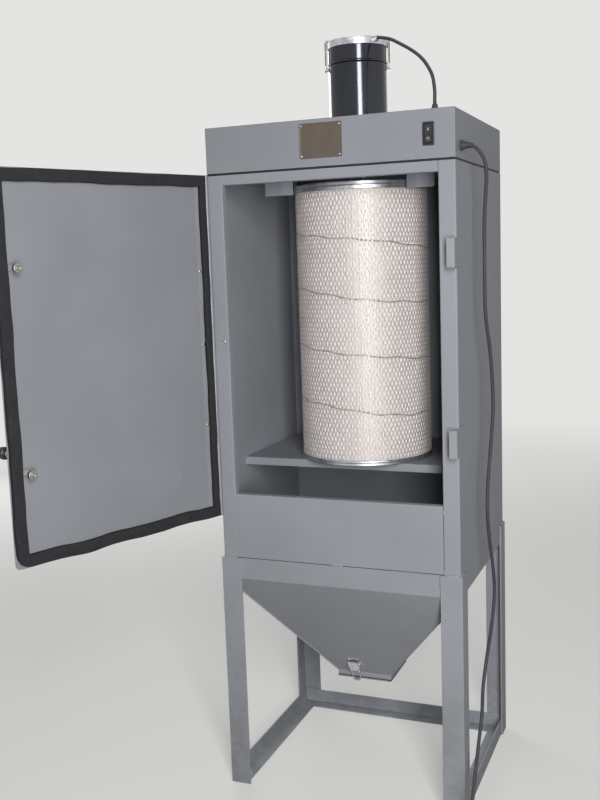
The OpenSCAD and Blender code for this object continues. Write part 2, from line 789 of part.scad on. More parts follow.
module motor_lead() { color(black) tube(concat([lead_start], curve(lead_points, 15), [grommet]), lead_r, 8); }

module lead_grommet() {
    color(black) translate([grommet.x, grommet.y, box_top]) {
        cylinder(r = 9, h = grommet_h / 3, $fn = 32);
        cylinder(r = 6.5, h = grommet_h, $fn = 32);
    }
}

// Strain relief in the right side of the top box: a flange, a nut and a tapered boot that droops
module cord_gland() {
    skin = 0.5;
    color(black) {
        translate([half_w, gland_face.y, gland_face.z]) rotate([0, 90, 0]) {
            cylinder(r = gland_flange_r, h = gland_flange_t, $fn = 32);
            cylinder(r1 = gland_r, r2 = gland_r - 1, h = gland_l, $fn = 32);
        }
        hull() {
            translate(gland_face - [skin, 0, 0]) rotate([0, 90, 0]) cylinder(r = boot_r, h = skin, $fn = 24);
            translate(gland_end) rotate([0, 90 + boot_turn, 0]) translate([0, 0, -skin])
                cylinder(r = boot_tip_r, h = skin, $fn = 24);
        }
    }
}

// Power cord: straight out of the strain relief, round its bend and down the route
module power_cord() {
    bend = [for (a = [boot_turn:13:80]) bend_at(a)];
    color(black) tube(concat([gland_end], bend, curve(cord_points, 24)), cord_r, 8);
}

// Outer shape of the coil on the floor: four strands, two over two
module cord_coil() {
    color(black) translate([coil_x, coil_y, 2 * strand]) rotate_extrude($fn = 48) translate([coil_r, 0]) {
        for (x = [-strand, strand], y = [-strand, strand]) translate([x, y]) circle(r = strand, $fn = 24);
        square([4 * strand, 2 * strand], center = true);
        square([2 * strand, 4 * strand], center = true);
    }
}

// Plug on the cord's last stretch, which leaves the coil's top strand: two flat blades, a round earth pin
module plug() {
    neck = 16;
    body = 24;
    face = plug_tail + neck + body;
    color(black) translate([coil_x + plug_out, coil_y + coil_r + strand, plug_r]) rotate([0, 90, 0]) {
        cylinder(r = cord_r, h = plug_tail + 1, $fn = 32);
        translate([0, 0, plug_tail]) cylinder(r1 = plug_r / 2, r2 = plug_r - 1, h = neck, $fn = 32);
        translate([0, 0, plug_tail + neck]) cylinder(r = plug_r, h = body, $fn = 32);
        for (side = [-1, 1]) translate([-6, side * 6.5 - 0.75, face]) cube([6, 1.5, 17]);
        translate([7, 0, face]) cylinder(r = 2.4, h = 20, $fn = 24);
    }
}

leg_front_left();
leg_front_right();
leg_rear_left();
leg_rear_right();
base_rail_left();
base_rail_right();
base_rail_rear();
side_panel_left();
side_panel_right();
back_panel();
head_rail();
lower_front_panel();
ceiling_panel();
shelf();
guide_left();
guide_right();
inlet_collar();
hopper_front();
hopper_rear();
hopper_left();
hopper_right();
outlet_collar();
outlet_seal();
outlet_cover();
outlet_latch();
filter_media();
filter_top_cap();
filter_bottom_cap();
filter_seal();
top_box();
top_box_gasket();
nameplate();
rocker_switch();
lead_grommet();
motor_lead();
motor_canister();
canister_head();
canister_clips();
hinge_leaf_fixed();
hinge_pin();
keeper_upper();
keeper_lower();
hinge_leaf_door();
door_panel();
door_foam();
latch_upper();
latch_lower();
knob_upper();
knob_lower();
cord_gland();
power_cord();
cord_coil();
plug();
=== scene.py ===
import math

import bpy
import numpy as np
from mathutils import Matrix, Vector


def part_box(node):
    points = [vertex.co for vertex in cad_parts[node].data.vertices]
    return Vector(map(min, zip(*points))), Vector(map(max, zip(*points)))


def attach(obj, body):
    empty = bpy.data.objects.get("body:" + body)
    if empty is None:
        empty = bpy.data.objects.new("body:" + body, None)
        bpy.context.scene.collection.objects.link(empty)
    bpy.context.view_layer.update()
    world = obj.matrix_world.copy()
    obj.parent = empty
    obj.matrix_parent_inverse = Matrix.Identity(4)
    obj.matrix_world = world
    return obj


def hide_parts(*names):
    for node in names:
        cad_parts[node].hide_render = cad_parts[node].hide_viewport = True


# Cartridge dust collector cabinet with its door open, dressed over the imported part.
# Metres, X to the right, Y to the back, Z up.

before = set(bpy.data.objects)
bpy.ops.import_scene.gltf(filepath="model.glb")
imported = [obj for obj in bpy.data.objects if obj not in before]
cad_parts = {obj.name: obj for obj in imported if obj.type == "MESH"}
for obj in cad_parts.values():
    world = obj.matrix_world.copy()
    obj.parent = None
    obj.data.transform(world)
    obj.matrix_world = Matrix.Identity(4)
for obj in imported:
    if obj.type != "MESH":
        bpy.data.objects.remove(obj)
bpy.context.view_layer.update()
seed = np.random.default_rng(23)
print("frame loaded,", len(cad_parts), "parts")


def span(part):  # lowest and highest corner of a part of the frame
    low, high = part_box(part)
    return np.array(low), np.array(high)


boxLow, boxHigh = span("top_box")
wallLow, wallHigh = span("side_panel_left")
middleY = (boxLow[1] + boxHigh[1]) / 2
frontY, backY = boxLow[1], boxHigh[1]
halfWidth = boxHigh[0]
seamZ, bodyTop = wallLow[2], wallHigh[2]


# The camera stands where the photograph was taken.
camera = {
    "place": (0.7892, -2.5950, 1.2970),
    "yaw": 0.3879,
    "pitch": -0.1405,
    "roll": -0.0352,
    "lens": 45.26,
}


def setCamera(c):
    # looks along (-sin yaw cos pitch, cos yaw cos pitch, sin pitch) and rolls about that line
    yaw, pitch, roll = c["yaw"], c["pitch"], c["roll"]
    ahead = np.array([-math.sin(yaw) * math.cos(pitch), math.cos(yaw) * math.cos(pitch), math.sin(pitch)])
    right = np.cross(ahead, [0, 0, 1])
    right /= np.linalg.norm(right)
    up = np.cross(right, ahead)
    right, up = (math.cos(roll) * right + math.sin(roll) * up, math.cos(roll) * up - math.sin(roll) * right)
    eye = bpy.data.objects.new("camera", bpy.data.cameras.new("camera"))
    bpy.context.scene.collection.objects.link(eye)
    matrix = np.eye(4)
    matrix[:3, :3] = np.stack([right, up, -ahead], 1)
    matrix[:3, 3] = c["place"]
    eye.matrix_world = Matrix(matrix.tolist())
    eye.data.lens = c["lens"]
    eye.data.sensor_width = 36
    eye.data.clip_start, eye.data.clip_end = 0.05, 60
    bpy.context.scene.camera = eye


setCamera(camera)
bpy.context.scene.view_settings.view_transform = "Standard"
print("camera set")


# Shapes come back as points and blocks of faces, worked out as arrays.

def outwards(points, blocks):
    # a closed shell whose faces point out has a positive volume: the sum of a . (b x c) over its triangles
    p = points - points.mean(0)
    volume = sum(np.einsum("ij,ij->", p[b[:, 0]], np.cross(p[b[:, k]], p[b[:, k + 1]]))
                 for b in blocks for k in range(1, b.shape[1] - 1))
    return points, blocks if volume > 0 else [b[:, ::-1] for b in blocks]


def shell(grid, loop=False):
    # grid[i, j] is a point; i runs along the shape and j round it, and j closes on itself
    rows, columns = grid.shape[:2]
    index = np.arange(rows * columns).reshape(rows, columns)
    near, far = (index, np.roll(index, -1, 0)) if loop else (index[:-1], index[1:])
    quads = np.stack([near, far, np.roll(far, -1, 1), np.roll(near, -1, 1)], -1).reshape(-1, 4)
    return outwards(grid.reshape(-1, 3), [quads] if loop else [quads, index[:1], index[-1:, ::-1]])


def gathered(shapes):  # several shapes as one, their faces renumbered
    points = np.concatenate([p for p, _ in shapes])
    starts = np.cumsum([0] + [len(p) for p, _ in shapes[:-1]])
    return points, [b + s for (_, blocks), s in zip(shapes, starts) for b in blocks]


def evenShade(piece):  # broad faces keep their own normal, and the narrow ones at their edges bend to them
    lean = piece.modifiers.new("evenShade", "WEIGHTED_NORMAL")
    lean.mode, lean.weight, lean.keep_sharp = "FACE_AREA", 100, True


def addPiece(name, shape, finish, body="cabinet", stands=(), flat=False, sharp=None):
    # points and faces become a mesh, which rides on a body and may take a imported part's place
    points, blocks = shape
    faces = [face for block in blocks for face in block.tolist()]
    mesh = bpy.data.meshes.new(name)
    mesh.from_pydata(points.tolist(), [], faces)
    mesh.polygons.foreach_set("use_smooth", np.full(len(faces), not flat))
    mesh.materials.append(finish)
    piece = bpy.data.objects.new(name, mesh)
    bpy.context.scene.collection.objects.link(piece)
    if sharp:
        mesh.set_sharp_from_angle(angle=math.radians(sharp))
        evenShade(piece)
    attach(piece, body)
    if stands:
        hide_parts(*stands)
    return piece


def rounded(corners, radii, steps=5):
    # each corner P gives way to (1-s)^2 A + 2s(1-s) P + s^2 B, with A and B a radius away on its two sides
    p = np.asarray(corners, float)
    r = np.broadcast_to(radii, len(p))[:, None]
    before, after = np.roll(p, 1, 0) - p, np.roll(p, -1, 0) - p
    a = p + r * before / np.linalg.norm(before, axis=1)[:, None]
    b = p + r * after / np.linalg.norm(after, axis=1)[:, None]
    s = np.linspace(0, 1, steps)[:, None, None]
    return ((1 - s) ** 2 * a + 2 * s * (1 - s) * p + s ** 2 * b).transpose(1, 0, 2).reshape(-1, 2)


def inset(outline, amount):
    # every point moves in along the mean of its two edges' normals
    edge = np.roll(outline, -1, 0) - outline
    turn = np.sign(np.sum(outline[:, 0] * np.roll(outline[:, 1], -1) - outline[:, 1]
                          * np.roll(outline[:, 0], -1)))
    normal = turn * np.stack([-edge[:, 1], edge[:, 0]], 1) / (np.linalg.norm(edge, axis=1)[:, None] + 1e-12)
    mean = normal + np.roll(normal, 1, 0)
    return outline + amount * mean / np.maximum(np.sum(mean * mean, 1) / 2, 0.4)[:, None]


def placed(first, second, third, axes):  # puts three coordinates on the named axes
    out = np.zeros(np.broadcast(first, second, third).shape + (3,))
    for value, axis in zip((first, second, third), axes):
        out[..., "xyz".index(axis)] = value
    return out


def extruded(outline, low, high, axes="xyz", edge=0.0):
    # an outline carried from low to high along the third axis, its ends drawn in by edge to round them
    levels = [(low, edge), (low + edge, 0), (high - edge, 0), (high, edge)] if edge else [(low, 0), (high, 0)]
    rings = [inset(outline, back) if back else outline for _, back in levels]
    return shell(np.stack([placed(r[:, 0], r[:, 1], h, axes) for r, (h, _) in zip(rings, levels)]))


def lathe(profile, centre, axis="z", sides=64, loop=False, wave=None):
    # radius and height turned round an axis: x = r cos a, y = r sin a
    profile = np.asarray(profile, float)
    a = np.linspace(0, 2 * np.pi, sides, endpoint=False)
    r = profile[:, :1] * (1 if wave is None else wave(a)[None, :])
    ring = {"z": "xyz", "x": "yzx", "y": "zxy"}[axis]
    return shell(placed(r * np.cos(a), r * np.sin(a), profile[:, 1:] + 0 * a, ring) + np.asarray(centre),
                 loop)


def softened(profile, radius, steps=4):  # an open profile with its inner corners rounded
    p = np.asarray(profile, float)
    before, after = p[:-2] - p[1:-1], p[2:] - p[1:-1]
    lengths = np.minimum(np.linalg.norm(before, axis=1), np.linalg.norm(after, axis=1))[:, None]
    r = np.minimum(radius, lengths * 0.45)
    a = p[1:-1] + r * before / np.linalg.norm(before, axis=1)[:, None]
    b = p[1:-1] + r * after / np.linalg.norm(after, axis=1)[:, None]
    s = np.linspace(0, 1, steps)[:, None, None]
    bends = ((1 - s) ** 2 * a + 2 * s * (1 - s) * p[1:-1] + s ** 2 * b).transpose(1, 0, 2).reshape(-1, 2)
    return np.concatenate([p[:1], bends, p[-1:]])


def unit(v):  # each vector over its own length
    return v / np.maximum(np.linalg.norm(v, axis=-1, keepdims=True), 1e-12)


def across(path, loop=False):
    # two cross directions at each point, carried along the path without twist: each step's
    # turn about the heading is measured against the last one's and the running sum is taken off
    ahead = unit(np.roll(path, -1, 0) - np.roll(path, 1, 0)) if loop else unit(np.gradient(path, axis=0))
    helper = np.where(np.abs(ahead[:, 2:]) > 0.8, [[1.0, 0, 0]], [[0, 0, 1.0]])
    side = unit(np.cross(ahead, helper))
    moved = side[:-1] - np.sum(side[:-1] * ahead[1:], 1)[:, None] * ahead[1:]
    moved = unit(moved)
    twist = np.arctan2(np.sum(np.cross(moved, side[1:]) * ahead[1:], 1), np.sum(moved * side[1:], 1))
    turn = -np.concatenate([[0], np.cumsum(twist)])[:, None]
    other = np.cross(ahead, side)
    return np.cos(turn) * side + np.sin(turn) * other, np.cos(turn) * other - np.sin(turn) * side


def tube(path, radius, sides=12, loop=False):
    # path point + radius (cos a side + sin a other)
    side, other = across(path, loop)
    a = np.linspace(0, 2 * np.pi, sides, endpoint=False)[None, :, None]
    r = np.broadcast_to(radius, len(path))[:, None, None]
    return shell(path[:, None] + r * (np.cos(a) * side[:, None] + np.sin(a) * other[:, None]), loop)


def smoothPath(points, pitch):
    # the cubic through the points: 0.5 (2b + (c-a)t + (2a-5b+4c-d)t^2 + (3b-a-3c+d)t^3)
    p = np.asarray(points, float)
    p = np.concatenate([p[:1], p, p[-1:]])
    a, b, c, d = p[:-3], p[1:-2], p[2:-1], p[3:]
    steps = max(2, int(round(np.max(np.linalg.norm(c - b, axis=1)) / pitch)))
    t = (np.arange(steps) / steps)[:, None, None]
    run = 0.5 * (2 * b + (c - a) * t + (2 * a - 5 * b + 4 * c - d) * t ** 2 + (3 * b - a - 3 * c + d)
                 * t ** 3)
    return np.concatenate([run.transpose(1, 0, 2).reshape(-1, 3), p[-1:]])


def evenly(path, pitch):  # the same path with its points one pitch apart
    s = np.concatenate([[0], np.cumsum(np.linalg.norm(np.diff(path, axis=0), axis=1))])
    at = np.linspace(0, s[-1], max(2, int(round(s[-1] / pitch)) + 1))
    return np.stack([np.interp(at, s, path[:, k]) for k in range(3)], 1)


def pathLength(path):  # the sum of the lengths of its steps
    return float(np.linalg.norm(np.diff(path, axis=0), axis=1).sum())


def ease(x):  # 0 to 1 with level ends
    x = np.clip(x, 0, 1)
    return 0.5 - 0.5 * np.cos(np.pi * x)


def wander(s, lengths, size):  # sum of sines with seeded phases, for hand-laid lines
    phase = seed.uniform(0, 2 * np.pi, len(lengths))
    return size * sum(np.sin(2 * np.pi * s / w + f) for w, f in zip(lengths, phase)) / len(lengths)


def domes(centres, normals, radius, height, sides=16):
    # rivet heads: rings at r cos q out and h sin q up for q from 0 to 80 degrees, sunk a little at the foot
    centres, normals = np.atleast_2d(centres).astype(float), unit(np.atleast_2d(normals).astype(float))
    helper = np.where(np.abs(normals[:, 2:]) > 0.8, [[1.0, 0, 0]], [[0, 0, 1.0]])
    u = unit(np.cross(normals, helper))
    v = np.cross(normals, u)
    q = np.radians([0, 0, 18, 38, 58, 80])
    out, up = radius * np.cos(q), height * np.sin(q)
    up[0] = -0.0006
    a = np.linspace(0, 2 * np.pi, sides, endpoint=False)
    shapes = []
    for c, n, x, y in zip(centres, normals, u, v):  # one head at a time, each worked out as an array
        ring = np.cos(a)[None, :, None] * x + np.sin(a)[None, :, None] * y
        shapes.append(shell(c + out[:, None, None] * ring + up[:, None, None] * n))
    return gathered(shapes)


def bead(start, end, radius, ripple=0.0022, bulge=0.22):
    # weld bead: a tube whose radius swells once each ripple and tapers at both ends
    start, end = np.asarray(start, float), np.asarray(end, float)
    length = np.linalg.norm(end - start)
    s = np.linspace(0, length, max(12, int(length / 0.0007)))
    ahead = (end - start) / length
    off = unit(np.cross(ahead, [0.31, 0.52, 0.79]))
    path = start + s[:, None] * ahead + wander(s, (0.013, 0.031), radius * 0.22)[:, None] * off
    swell = 1 + bulge * (np.abs(np.sin(np.pi * s / ripple)) - 0.6)
    taper = np.sqrt(np.clip(np.minimum(s, length - s) / (radius * 1.6), 0.05, 1))
    return tube(path, radius * swell * taper, 10)


def ink(red, green, blue):  # a colour as seen on a screen, 0 to 255, as a linear one
    c = np.array([red, green, blue]) / 255
    return (*np.where(c <= 0.04045, c / 12.92, ((c + 0.055) / 1.055) ** 2.4).tolist(), 1.0)


class Wire:
    # one output socket of a node, on which shader maths reads as plain Python
    def __init__(self, finish, socket):
        self.finish, self.socket = finish, socket

    def maths(self, operation, *values):
        # a node for one operation; the signs below all come here
        return self.finish.add("ShaderNodeMath", {"operation": operation}, dict(enumerate(values)))

    def __add__(self, other):
        return self.maths("ADD", self, other)

    def __sub__(self, other):
        return self.maths("SUBTRACT", self, other)

    def __rsub__(self, other):
        return self.maths("SUBTRACT", other, self)

    def __mul__(self, other):
        return self.maths("MULTIPLY", self, other)

    def __truediv__(self, other):
        return self.maths("DIVIDE", self, other)

    def __pow__(self, other):
        return self.maths("POWER", self, other)

    __radd__ = __add__
    __rmul__ = __mul__

    def above(self, level, width):  # 0 under the level, 1 above it, with a soft step of that width
        return self.finish.add("ShaderNodeMapRange", {"interpolation_type": "SMOOTHSTEP"}, {
            "Value": self, "From Min": level - width / 2, "From Max": level + width / 2})


class Finish:
    # a material and its nodes, or the nodes of a tree that is handed in
    def __init__(self, name, tree=None):
        if tree is None:
            self.material = bpy.data.materials.new(name)
            self.material.use_nodes = True
            tree = self.material.node_tree
        self.tree = tree
        self.tree.nodes.clear()
        self.here = self.add("ShaderNodeTexCoord", out="Object")

    def add(self, kind, settings=None, inputs=None, out=0):
        # a new node; a Wire among its inputs is linked, anything else is stored as a value
        node = self.tree.nodes.new(kind)
        for key, value in (settings or {}).items():
            if key == "stops":
                stops = node.color_ramp.elements
                while len(stops) < len(value):
                    stops.new(0.5)
                for stop, (at, colour) in zip(stops, value):
                    stop.position, stop.color = at, colour
            else:
                setattr(node, key, value)
        for key, value in (inputs or {}).items():
            if isinstance(value, Wire):
                self.tree.links.new(value.socket, node.inputs[key])
            else:
                node.inputs[key].default_value = value
        return Wire(self, node.outputs[out])

    def stretched(self, scale, at=(0, 0, 0)):
        # Object coordinates times scale, plus at
        return self.add("ShaderNodeMapping", {}, {"Vector": self.here, "Scale": scale, "Location": at})

    def noise(self, scale, detail=3, stretch=None, rough=0.5, distort=0.0):
        # fractal noise from 0 to 1, with scale as its waves per metre
        where = self.stretched(stretch) if stretch else self.here
        return self.add("ShaderNodeTexNoise", {}, {
            "Vector": where, "Scale": scale, "Detail": detail, "Roughness": rough, "Distortion": distort})

    def part(self, axis):  # one of the three Object coordinates
        return self.add("ShaderNodeSeparateXYZ", {}, {0: self.here}, out="XYZ".index(axis.upper()))

    def mix(self, amount, first, second, how="MIX"):
        # first (1 - amount) + second amount
        return self.add("ShaderNodeMix", {"data_type": "RGBA", "blend_type": how},
                        {0: amount, 6: first, 7: second}, out=2)

    def edges(self, radius):  # 1 on outer edges: how far a rounded normal leaves the true one
        soft = self.add("ShaderNodeBevel", {"samples": 4}, {"Radius": radius})
        true = self.add("ShaderNodeNewGeometry", out="Normal")
        same = self.add("ShaderNodeVectorMath", {"operation": "DOT_PRODUCT"}, {0: soft, 1: true}, out="Value")
        return ((1 - same) * 5).above(0.5, 0.9)

    def bump(self, height, distance, strength=1.0, over=None):
        # a height of 1 stands distance metres up; over is the normal of a coarser bump below it
        inputs = {"Height": height, "Distance": distance, "Strength": strength}
        if over:
            inputs["Normal"] = over
        return self.add("ShaderNodeBump", {}, inputs)

    def done(self, **sockets):
        # the surface from these sockets, joined to the output
        names = {"colour": "Base Color", "rough": "Roughness", "metal": "Metallic", "normal": "Normal",
                 "specular": "Specular IOR Level"}
        self.output(self.add("ShaderNodeBsdfPrincipled", {}, {names[k]: v for k, v in sockets.items()}))
        return self.material

    def output(self, shader, kind="ShaderNodeOutputMaterial"):
        # the shader drives the material, or the world
        self.tree.links.new(shader.socket, self.tree.nodes.new(kind).inputs["Surface"])

    def seen(self):  # 1 for what the camera sees straight, mirrored or through something
        paths = self.tree.nodes.new("ShaderNodeLightPath")
        straight, mirror, through = (Wire(self, paths.outputs["Is " + kind + " Ray"])
                                     for kind in ("Camera", "Glossy", "Transmission"))
        return straight.maths("MAXIMUM", straight.maths("MAXIMUM", straight, mirror), through)


paint = {
    "light": ink(161, 164, 170.5),
    "dark": ink(154, 157, 163.5),
    "worn": ink(196, 199, 203),
    "grime": ink(120, 116, 106),
    "edgeRadius": 0.0016,
    "edgeWear": 0.55,
    "roughness": 0.46,
    "orangePeel": 0.00012,
}


def paintFinish(name, p, grime=0.25, shade=1.0, shine=0.20):
    # dark to light by a soft cloud, both times shade, a factor that darkens a whole copy of the paint as
    # painted shade; then grime low down, and worn colour on edges and scuffs, all under an orange-peel bump
    f = Finish(name)
    cloud = f.noise(5, 4)
    fine = f.noise(60, 3)
    peel = f.noise(520, 2)
    edge = f.edges(p["edgeRadius"]) * f.noise(140, 4, rough=0.7).above(0.46, 0.25)
    scuff = f.noise(9, 8, stretch=(1, 1, 0.35), rough=0.75).above(0.66, 0.06) * fine.above(0.55, 0.2)
    low = (1 - f.part("z") * 1.4).above(0.62, 0.7) * f.noise(28, 6, rough=0.7).above(0.52, 0.3)
    colour = f.mix(cloud.above(0.5, 0.5), tuple(shade * c for c in p["dark"][:3]) + (1,),
                   tuple(shade * c for c in p["light"][:3]) + (1,))
    colour = f.mix(low * grime, colour, p["grime"])
    colour = f.mix(edge * p["edgeWear"] + scuff * 0.10, colour, p["worn"])
    rough = p["roughness"] + cloud * 0.08 + fine * 0.06 + edge * 0.1 - scuff * 0.06
    normal = f.bump(peel, p["orangePeel"], 0.6, f.bump(fine, 0.0006, 0.10))
    return f.done(colour=colour, rough=rough, normal=normal, specular=shine)


zinc = {"pale": ink(222, 224, 228), "deep": ink(172, 175, 182), "flake": 85, "roughness": 0.25}


def zincFinish(name, p):
    # flakes of one tone each: 0.55 tone + 0.35 film leads from deep to pale
    f = Finish(name)
    flake = f.add("ShaderNodeTexVoronoi", {}, {"Vector": f.here, "Scale": p["flake"]}, out="Color")
    tone = f.add("ShaderNodeSeparateColor", {}, {0: flake})
    film = f.noise(22, 5, rough=0.65)
    fine = f.noise(650, 2)
    colour = f.mix(tone * 0.55 + film * 0.35, p["deep"], p["pale"])
    colour = f.mix(film.above(0.62, 0.2) * 0.25, colour, ink(120, 118, 112))
    rough = p["roughness"] + tone * 0.10 + film * 0.12
    return f.done(colour=colour, rough=rough, metal=0.92,
                  normal=f.bump(fine, 0.00005, 0.5, f.bump(tone, 0.0001, 0.2)))


# the chrome's dark base stands in for the dark room it would mirror: painted reflection
chromeDarkReflection = {"base": ink(60, 61, 67), "smear": ink(80, 82, 89), "roughness": 0.11}


def chromeDarkReflectionFinish(name, p):
    # plating that mirrors, its base colour made dark as a painted reflection of dark surroundings, with long
    # upright smears, fine lines and a few dull spots
    f = Finish(name)
    smear = f.noise(7, 5, stretch=(1, 1, 0.2), rough=0.6)
    lines = f.noise(210, 3, stretch=(1, 1, 0.015))
    spots = f.noise(160, 4, rough=0.7).above(0.66, 0.05)
    colour = f.mix(smear.above(0.5, 0.6), p["base"], p["smear"])
    colour = f.mix(spots * 0.35, colour, ink(70, 68, 66))
    rough = p["roughness"] + smear.above(0.55, 0.3) * 0.07 + lines * 0.04 + spots * 0.2
    return f.done(colour=colour, rough=rough, metal=1.0, normal=f.bump(lines, 0.00004, 0.35))


bright = {"base": ink(200, 200, 203), "dull": ink(150, 148, 144), "roughness": 0.16}


def brightFinish(name, p):
    # plated steel, dulled by a film and brighter on its edges
    f = Finish(name)
    film = f.noise(90, 5, rough=0.65)
    lines = f.noise(900, 2, stretch=(1, 1, 0.12))
    edge = f.edges(0.0008)
    colour = f.mix(film.above(0.55, 0.35) * 0.6, p["base"], p["dull"])
    colour = f.mix(edge * 0.4, colour, ink(226, 226, 228))
    return f.done(colour=colour, rough=p["roughness"] + film * 0.16, metal=p.get("metal", 0.95),
                  normal=f.bump(lines, 0.00004, 0.5, f.bump(film, 0.0002, 0.15)))


rubber = {"base": ink(50, 51, 55), "chalk": ink(92, 93, 97), "roughness": 0.52}


def rubberFinish(name, p, scale=1.0):
    # 0.25 cloud + 0.30 chalk + 0.3 edge leads from the base colour to chalk
    f = Finish(name)
    cloud = f.noise(30 * scale, 4)
    grain = f.noise(1300 * scale, 3)
    chalk = f.noise(75 * scale, 6, rough=0.7).above(0.60, 0.16)
    edge = f.edges(0.0008)
    colour = f.mix(cloud * 0.25 + chalk * 0.30 + edge * 0.3, p["base"], p["chalk"])
    return f.done(colour=colour, rough=p["roughness"] + cloud * 0.14 + chalk * 0.12,
                  normal=f.bump(grain, 0.00012, 0.5, f.bump(cloud, 0.0008, 0.12)), specular=0.45)


jacket = {"base": ink(64, 63, 71), "rub": ink(96, 95, 102), "roughness": 0.55}


def jacketFinish(name, p):  # reads the tube's own UV: v runs along it, u round it
    f = Finish(name)
    uv = f.add("ShaderNodeUVMap", {"uv_map": "along"})
    run = f.add("ShaderNodeMapping", {}, {"Vector": uv, "Scale": (6, 260, 1)})
    rub = f.add("ShaderNodeTexNoise", {}, {"Vector": run, "Scale": 1.0, "Detail": 4.0})
    dust = f.noise(40, 5, rough=0.65)
    fine = f.noise(1100, 2)
    colour = f.mix(rub.above(0.58, 0.2) * 0.35 + dust.above(0.6, 0.2) * 0.3, p["base"], p["rub"])
    return f.done(colour=colour, rough=p["roughness"] + dust * 0.15,
                  normal=f.bump(fine, 0.0001, 0.4, f.bump(rub, 0.0003, 0.2)), specular=0.35)


foam = {"base": ink(52, 51, 56), "pit": ink(30, 29, 33), "dust": ink(92, 90, 90), "cell": 620}


def foamFinish(name, p):
    # each cell's middle is a pit, darkened as painted shade, and its walls stand up: height = 0.7 cells + 0.6
    # wide + 0.5 cloud
    f = Finish(name)
    cells = f.add("ShaderNodeTexVoronoi", {}, {"Vector": f.here, "Scale": p["cell"]}, out="Distance")
    wide = f.add("ShaderNodeTexVoronoi", {}, {"Vector": f.here, "Scale": p["cell"] * 0.37}, out="Distance")
    cloud = f.noise(24, 5, rough=0.6)
    dust = f.noise(130, 5, rough=0.7).above(0.63, 0.1)
    # the darkest colour, in the cells' middles, is painted shade
    colour = f.mix(cells.above(0.42, 0.4) * 0.75, p["pit"], p["base"])
    colour = f.mix(cloud * 0.3 + dust * 0.25, colour, p["dust"])
    height = cells * 0.7 + wide * 0.6 + cloud * 0.5
    return f.done(colour=colour, rough=0.93, normal=f.bump(height, 0.0011, 0.75), specular=0.2)


paper = {"ridge": ink(250, 247, 246), "valley": ink(236, 230, 227), "stain": ink(240, 230, 219)}


def paperFinish(name, p, centreY, top, depth):
    # valley to ridge colour by the distance from the cartridge's axis, the valleys' colour being painted
    # shade in the folds; then stains and upright fibres
    f = Finish(name)
    x, y = f.part("x"), f.part("y") - centreY
    radius = (x * x + y * y) ** 0.5  # how deep in a pleat a point lies
    ridge = ((radius - (top - depth)) / depth).above(0.5, 0.9)
    fibre = f.noise(420, 4, stretch=(1, 1, 0.12), rough=0.65)
    blotch = f.noise(11, 5, rough=0.6)
    # darker deep in the pleats: painted shade
    colour = f.mix(ridge, p["valley"], p["ridge"])
    colour = f.mix(blotch.above(0.58, 0.4) * 0.35, colour, p["stain"])
    colour = f.mix(fibre * 0.18, colour, ink(224, 214, 200))
    return f.done(colour=colour, rough=0.9 - fibre * 0.08, normal=f.bump(fibre, 0.0003, 0.4), specular=0.25)


strandSteel = {"pale": ink(226, 218, 216), "dull": ink(198, 188, 186), "roughness": 0.42}


def strandFinish(name, p):
    # 0.6 film + 0.4 fine leads from dull to pale
    f = Finish(name)
    film = f.noise(26, 5, rough=0.65)
    fine = f.noise(700, 3)
    tone = film.above(0.5, 0.6) * 0.6 + fine * 0.4
    return f.done(colour=f.mix(tone, p["dull"], p["pale"]), rough=p["roughness"] + film * 0.14, metal=0.28,
                  normal=f.bump(fine, 0.0001, 0.4))


glue = {"base": ink(176, 164, 150), "thick": ink(140, 127, 113)}


def glueFinish(name, p):
    # thick and darker where the flow noise is low
    f = Finish(name)
    flow = f.noise(60, 4, rough=0.6)
    fine = f.noise(480, 3)
    return f.done(colour=f.mix(flow, p["thick"], p["base"]), rough=0.42 + fine * 0.2,
                  normal=f.bump(flow + fine * 0.3, 0.0008, 0.5))


plateTin = {"base": ink(108, 97, 89), "dark": ink(85, 76, 70), "pale": ink(140, 130, 121)}


def plateFinish(name, p):
    # sheet brushed along X, clouded and a little stained
    f = Finish(name)
    brushed = f.noise(1500, 3, stretch=(0.02, 1, 1))
    cloud = f.noise(34, 5, rough=0.6)
    stain = f.noise(90, 6, rough=0.7).above(0.62, 0.12)
    colour = f.mix(cloud, p["dark"], p["base"])
    colour = f.mix(brushed * 0.35, colour, p["pale"])
    colour = f.mix(stain * 0.25, colour, p["dark"])
    return f.done(colour=colour, rough=0.34 + cloud * 0.14 + stain * 0.1, metal=0.55,
                  normal=f.bump(brushed, 0.00006, 0.5))


shinyBlack = {"base": ink(38, 38, 41), "rub": ink(84, 84, 88), "roughness": 0.30}


def mouldedFinish(name, p, grain=900):
    # a fine grain, and 0.5 edge + 0.12 cloud leads from the base colour to rub
    f = Finish(name)
    cloud = f.noise(70, 4)
    texture = f.noise(grain, 3)
    edge = f.edges(0.0009) * f.noise(260, 3).above(0.45, 0.3)
    colour = f.mix(edge * 0.5 + cloud * 0.12, p["base"], p["rub"])
    return f.done(colour=colour, rough=p["roughness"] + cloud * 0.12, normal=f.bump(texture, 0.0001, 0.35))


def markFinish(name):
    # white, worn to grey in places
    f = Finish(name)
    worn = f.noise(900, 4, rough=0.7)
    return f.done(colour=f.mix(worn.above(0.6, 0.2), ink(226, 226, 222), ink(170, 170, 168)),
                  rough=0.5 + worn * 0.1, normal=f.bump(worn, 0.00005, 0.4))


